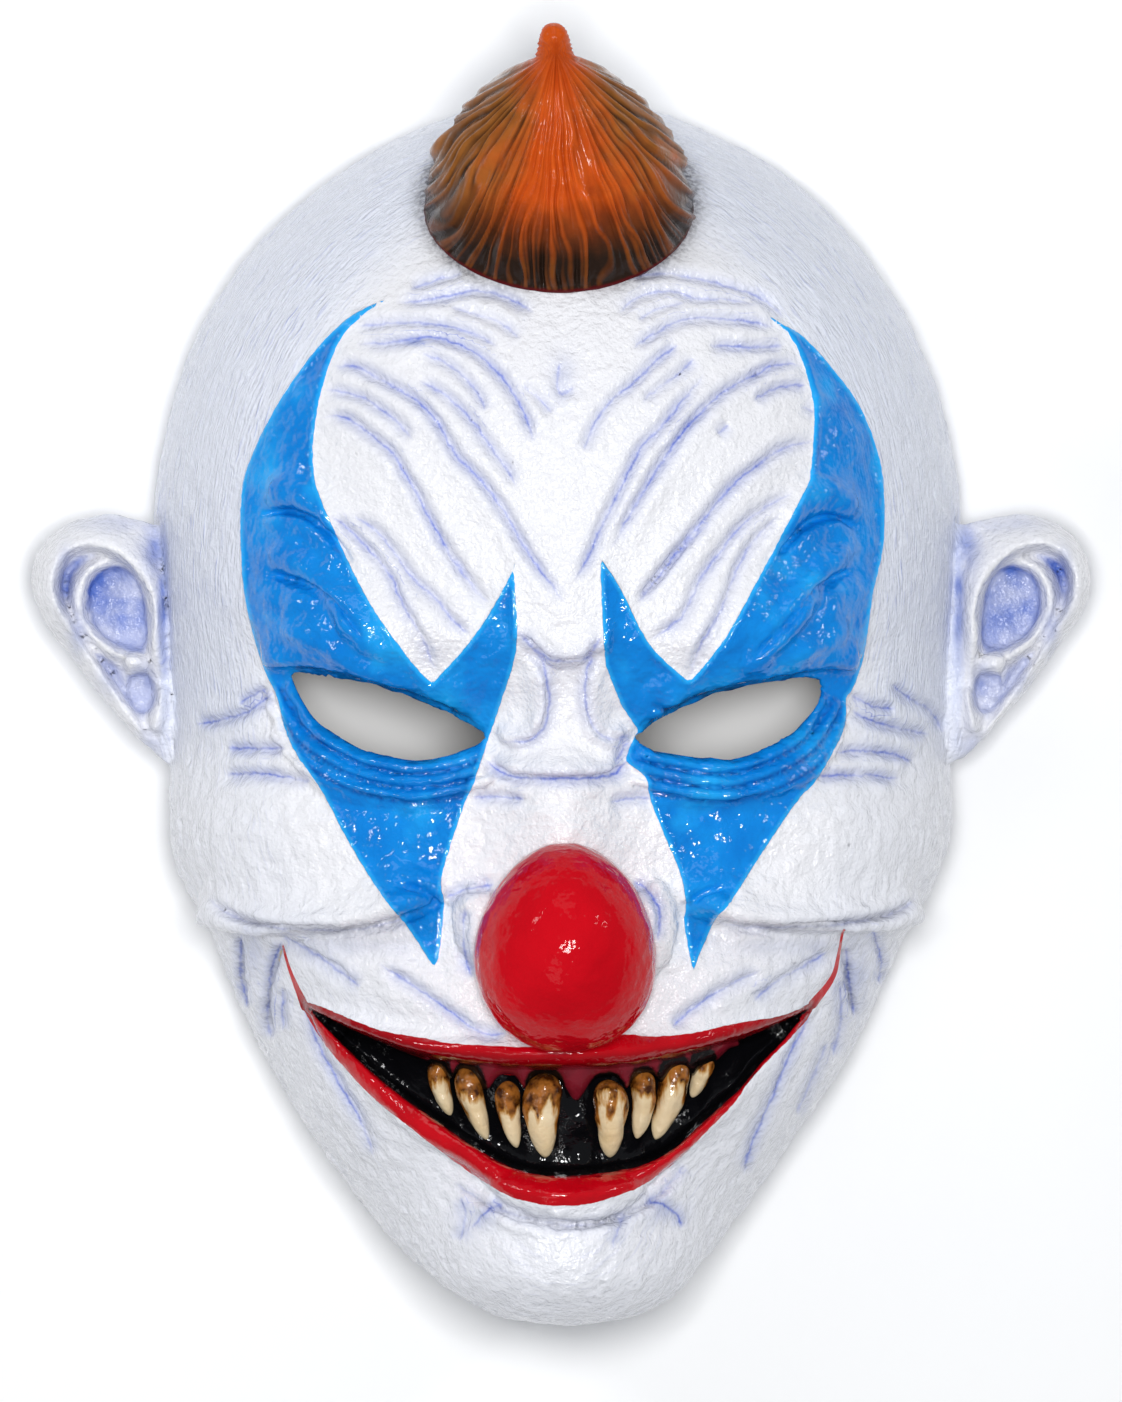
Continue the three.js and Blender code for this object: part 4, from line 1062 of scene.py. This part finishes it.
ridge = s.mix(foot, ridge, s.mottled(260, 2, (0.07, 0.014, 0.005), (0.24, 0.07, 0.012)))
shade = s.times(s.ramp(s.attribute("groove"), 0.35, -0.75), s.plus(0.22, s.times(side, 0.75)))
shade = s.math("MAXIMUM", shade, s.times(foot, s.ramp(s.attribute("groove"), 0.7, 0)))
colour = s.mix(shade, ridge, (0.022, 0.012, 0.008))
colour = s.mix(s.ramp(s.attribute("above"), 1.5, 0.9), colour, (0.09, 0.004, 0.006))
s.cover(tuft, colour, 0.14)
s.roughness(300, 0.08, 0.16)
s.bump(s.noise(500, 3), 0.0005, 0.4)
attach(tuft, "root")
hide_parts("mask")

# Gum: a dull red ridge of latex behind the upper lip, 6 to 15 mm high and 6 mm thick. Its lower edge is
# cut back over the root of each tooth, in a black rimmed socket, and runs to a point between the teeth.
TEETH = (
    ((-28, -86.3), (-24.8, -98.8), 5.6), ((-21.5, -87.6), (-16.6, -104.2), 6.8),
    ((-12.2, -91), (-9.9, -106), 6), ((-3.7, -89.3), (-3.5, -108.2), 9.2),
    ((10.3, -90.7), (11, -108.2), 8.6), ((18.8, -88.7), (17, -104), 6.2),
    ((26.4, -86.2), (21.2, -104.2), 7.6), ((32.4, -84.8), (29.4, -94.8), 5.4),
)
GUM_POINTS = (
    (-24.9, 2.5, 1.5), (-16.9, 4, 2.2), (-8.2, 3, 1.4), (3.4, 5.4, 2.8), (14.6, 3, 1.6),
    (22.6, 2.4, 1.4), (29.6, 1.6, 1.1), (-33, -3, 2.5), (38, -3, 3),
)
gum, d = ball("gum", 96, 96, 1)
share = (d[:, 2] + 1) / 2
x = -36 + 76 * share
low = -90 + 0.0024 * (x - 3) ** 2
low = low - sum(drop * np.exp(-((x - at) / wide) ** 2) for at, drop, wide in GUM_POINTS)
high = np.full(len(x), -80.5)
ring = np.arctan2(d[:, 1], d[:, 0])
ends = np.minimum(1, np.sqrt(np.maximum(0, 1 - d[:, 2] ** 2)) * 2.5)
y = (high + low) / 2 + (high - low) / 2 * np.sin(ring) * ends
z = face_depth(x, np.full(len(x), -86.0)) - MOUTH_DEPTH + 3.2 + 3 * np.cos(ring) * ends + 0.3 * (y + 90)
move_points(gum, np.stack((x, y, z), 1))
socket = np.full(len(x), 9.0)
for root, tip, width in TEETH:
    top = np.array(root) * 0.86 + np.array(tip) * 0.14
    distance = nearest(np.array((top, tip)), np.stack((x, y), 1))[0]
    socket = np.minimum(socket, distance - width * 0.42)
set_value(gum, "socket", socket)
face_outwards(gum)
s = Shader("gum_red")
flesh = s.mottled(250, 3, (0.11, 0.004, 0.01), (0.27, 0.014, 0.03))
edge = s.plus(s.attribute("socket"), s.times(s.minus(s.noise(600, 2), 0.5), 1.2))
s.cover(gum, s.mix(s.ramp(edge, 0.4, 1.0), (0.004, 0.003, 0.003), flesh))
s.roughness(180, 0.14, 0.26)
s.bump(s.noise(500, 3), 0.0005, 0.5)
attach(gum, "root")
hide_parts("mask")

# Teeth: eight crooked pegs of the upper jaw, 10 to 19 mm long, of latex half bedded in the back of the
# mouth, ivory at the tips and stained amber and brown at the roots.
pegs = []
for root, tip, width in TEETH:
    peg, d = ball("peg", 48, 32, 1)
    start = np.array((*root, float(face_depth(root[0], root[1])) - MOUTH_DEPTH + width * 0.3 + 1.5))
    end = np.array((*tip, float(face_depth(tip[0], tip[1])) - MOUTH_DEPTH + width * 0.3))
    run = end - start
    across = np.array((run[1], -run[0], 0)) / np.hypot(run[0], run[1])
    share = (1 - d[:, 2]) / 2
    ring = (1 - np.abs(2 * share - 1) ** 4.5) ** 0.55
    turn = np.arctan2(d[:, 1], d[:, 0])
    swell = 0.98 + 0.08 * np.sin(np.pi * np.clip(share / 0.6, 0, 1)) - 0.52 * share ** 1.8
    wide = width * 0.475 * swell * ring
    rough = np.stack((np.cos(turn) * ring * 2.2, np.sin(turn) * ring * 2.2, share * 9), 1) + root[0]
    lumpy = 1 + 0.13 * grain(rough, 2.6) + 0.05 * grain(rough + 5, 1.1)
    bend = 0.5 * width * 0.16 * np.sin(np.pi * share) * math.copysign(1, root[0])
    body = start + run * share[:, None] - across * (wide * lumpy * np.cos(turn) + bend)[:, None]
    body[:, 2] += wide * lumpy * np.sin(turn)
    move_points(peg, body)
    set_value(peg, "down", share)
    set_value(peg, "flank", np.abs(np.cos(turn)) * ring)
    pegs.append(peg)
deselect()
for peg in pegs:
    peg.select_set(True)
bpy.context.view_layer.objects.active = pegs[0]
bpy.ops.object.join()
teeth = bpy.context.object
teeth.name = "teeth"
face_outwards(teeth)
s = Shader("tooth_ivory")
streaks = s.noise(1, 4, s.stretched((420, 110, 420)))
ragged = s.plus(s.attribute("down"), s.times(s.minus(streaks, 0.5), 1.1))
ragged = s.minus(ragged, s.times(s.math("POWER", s.attribute("flank"), 5), 0.25))
ivory = s.mottled(160, 3, (0.72, 0.52, 0.26), (0.9, 0.78, 0.55))
rot = s.mix(s.ramp(s.noise(350, 3), 0.38, 0.62), (0.05, 0.012, 0.001), (0.4, 0.14, 0.022))
colour = s.mix(s.ramp(ragged, 0.5, 0.36), ivory, (0.5, 0.24, 0.05))
colour = s.mix(s.ramp(ragged, 0.38, 0.3), colour, rot)
s.cover(teeth, colour)
s.roughness(300, 0.1, 0.2)
s.bump(s.noise(450, 3), 0.0008, 0.5)
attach(teeth, "root")
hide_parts("mask")

remove([hollow])
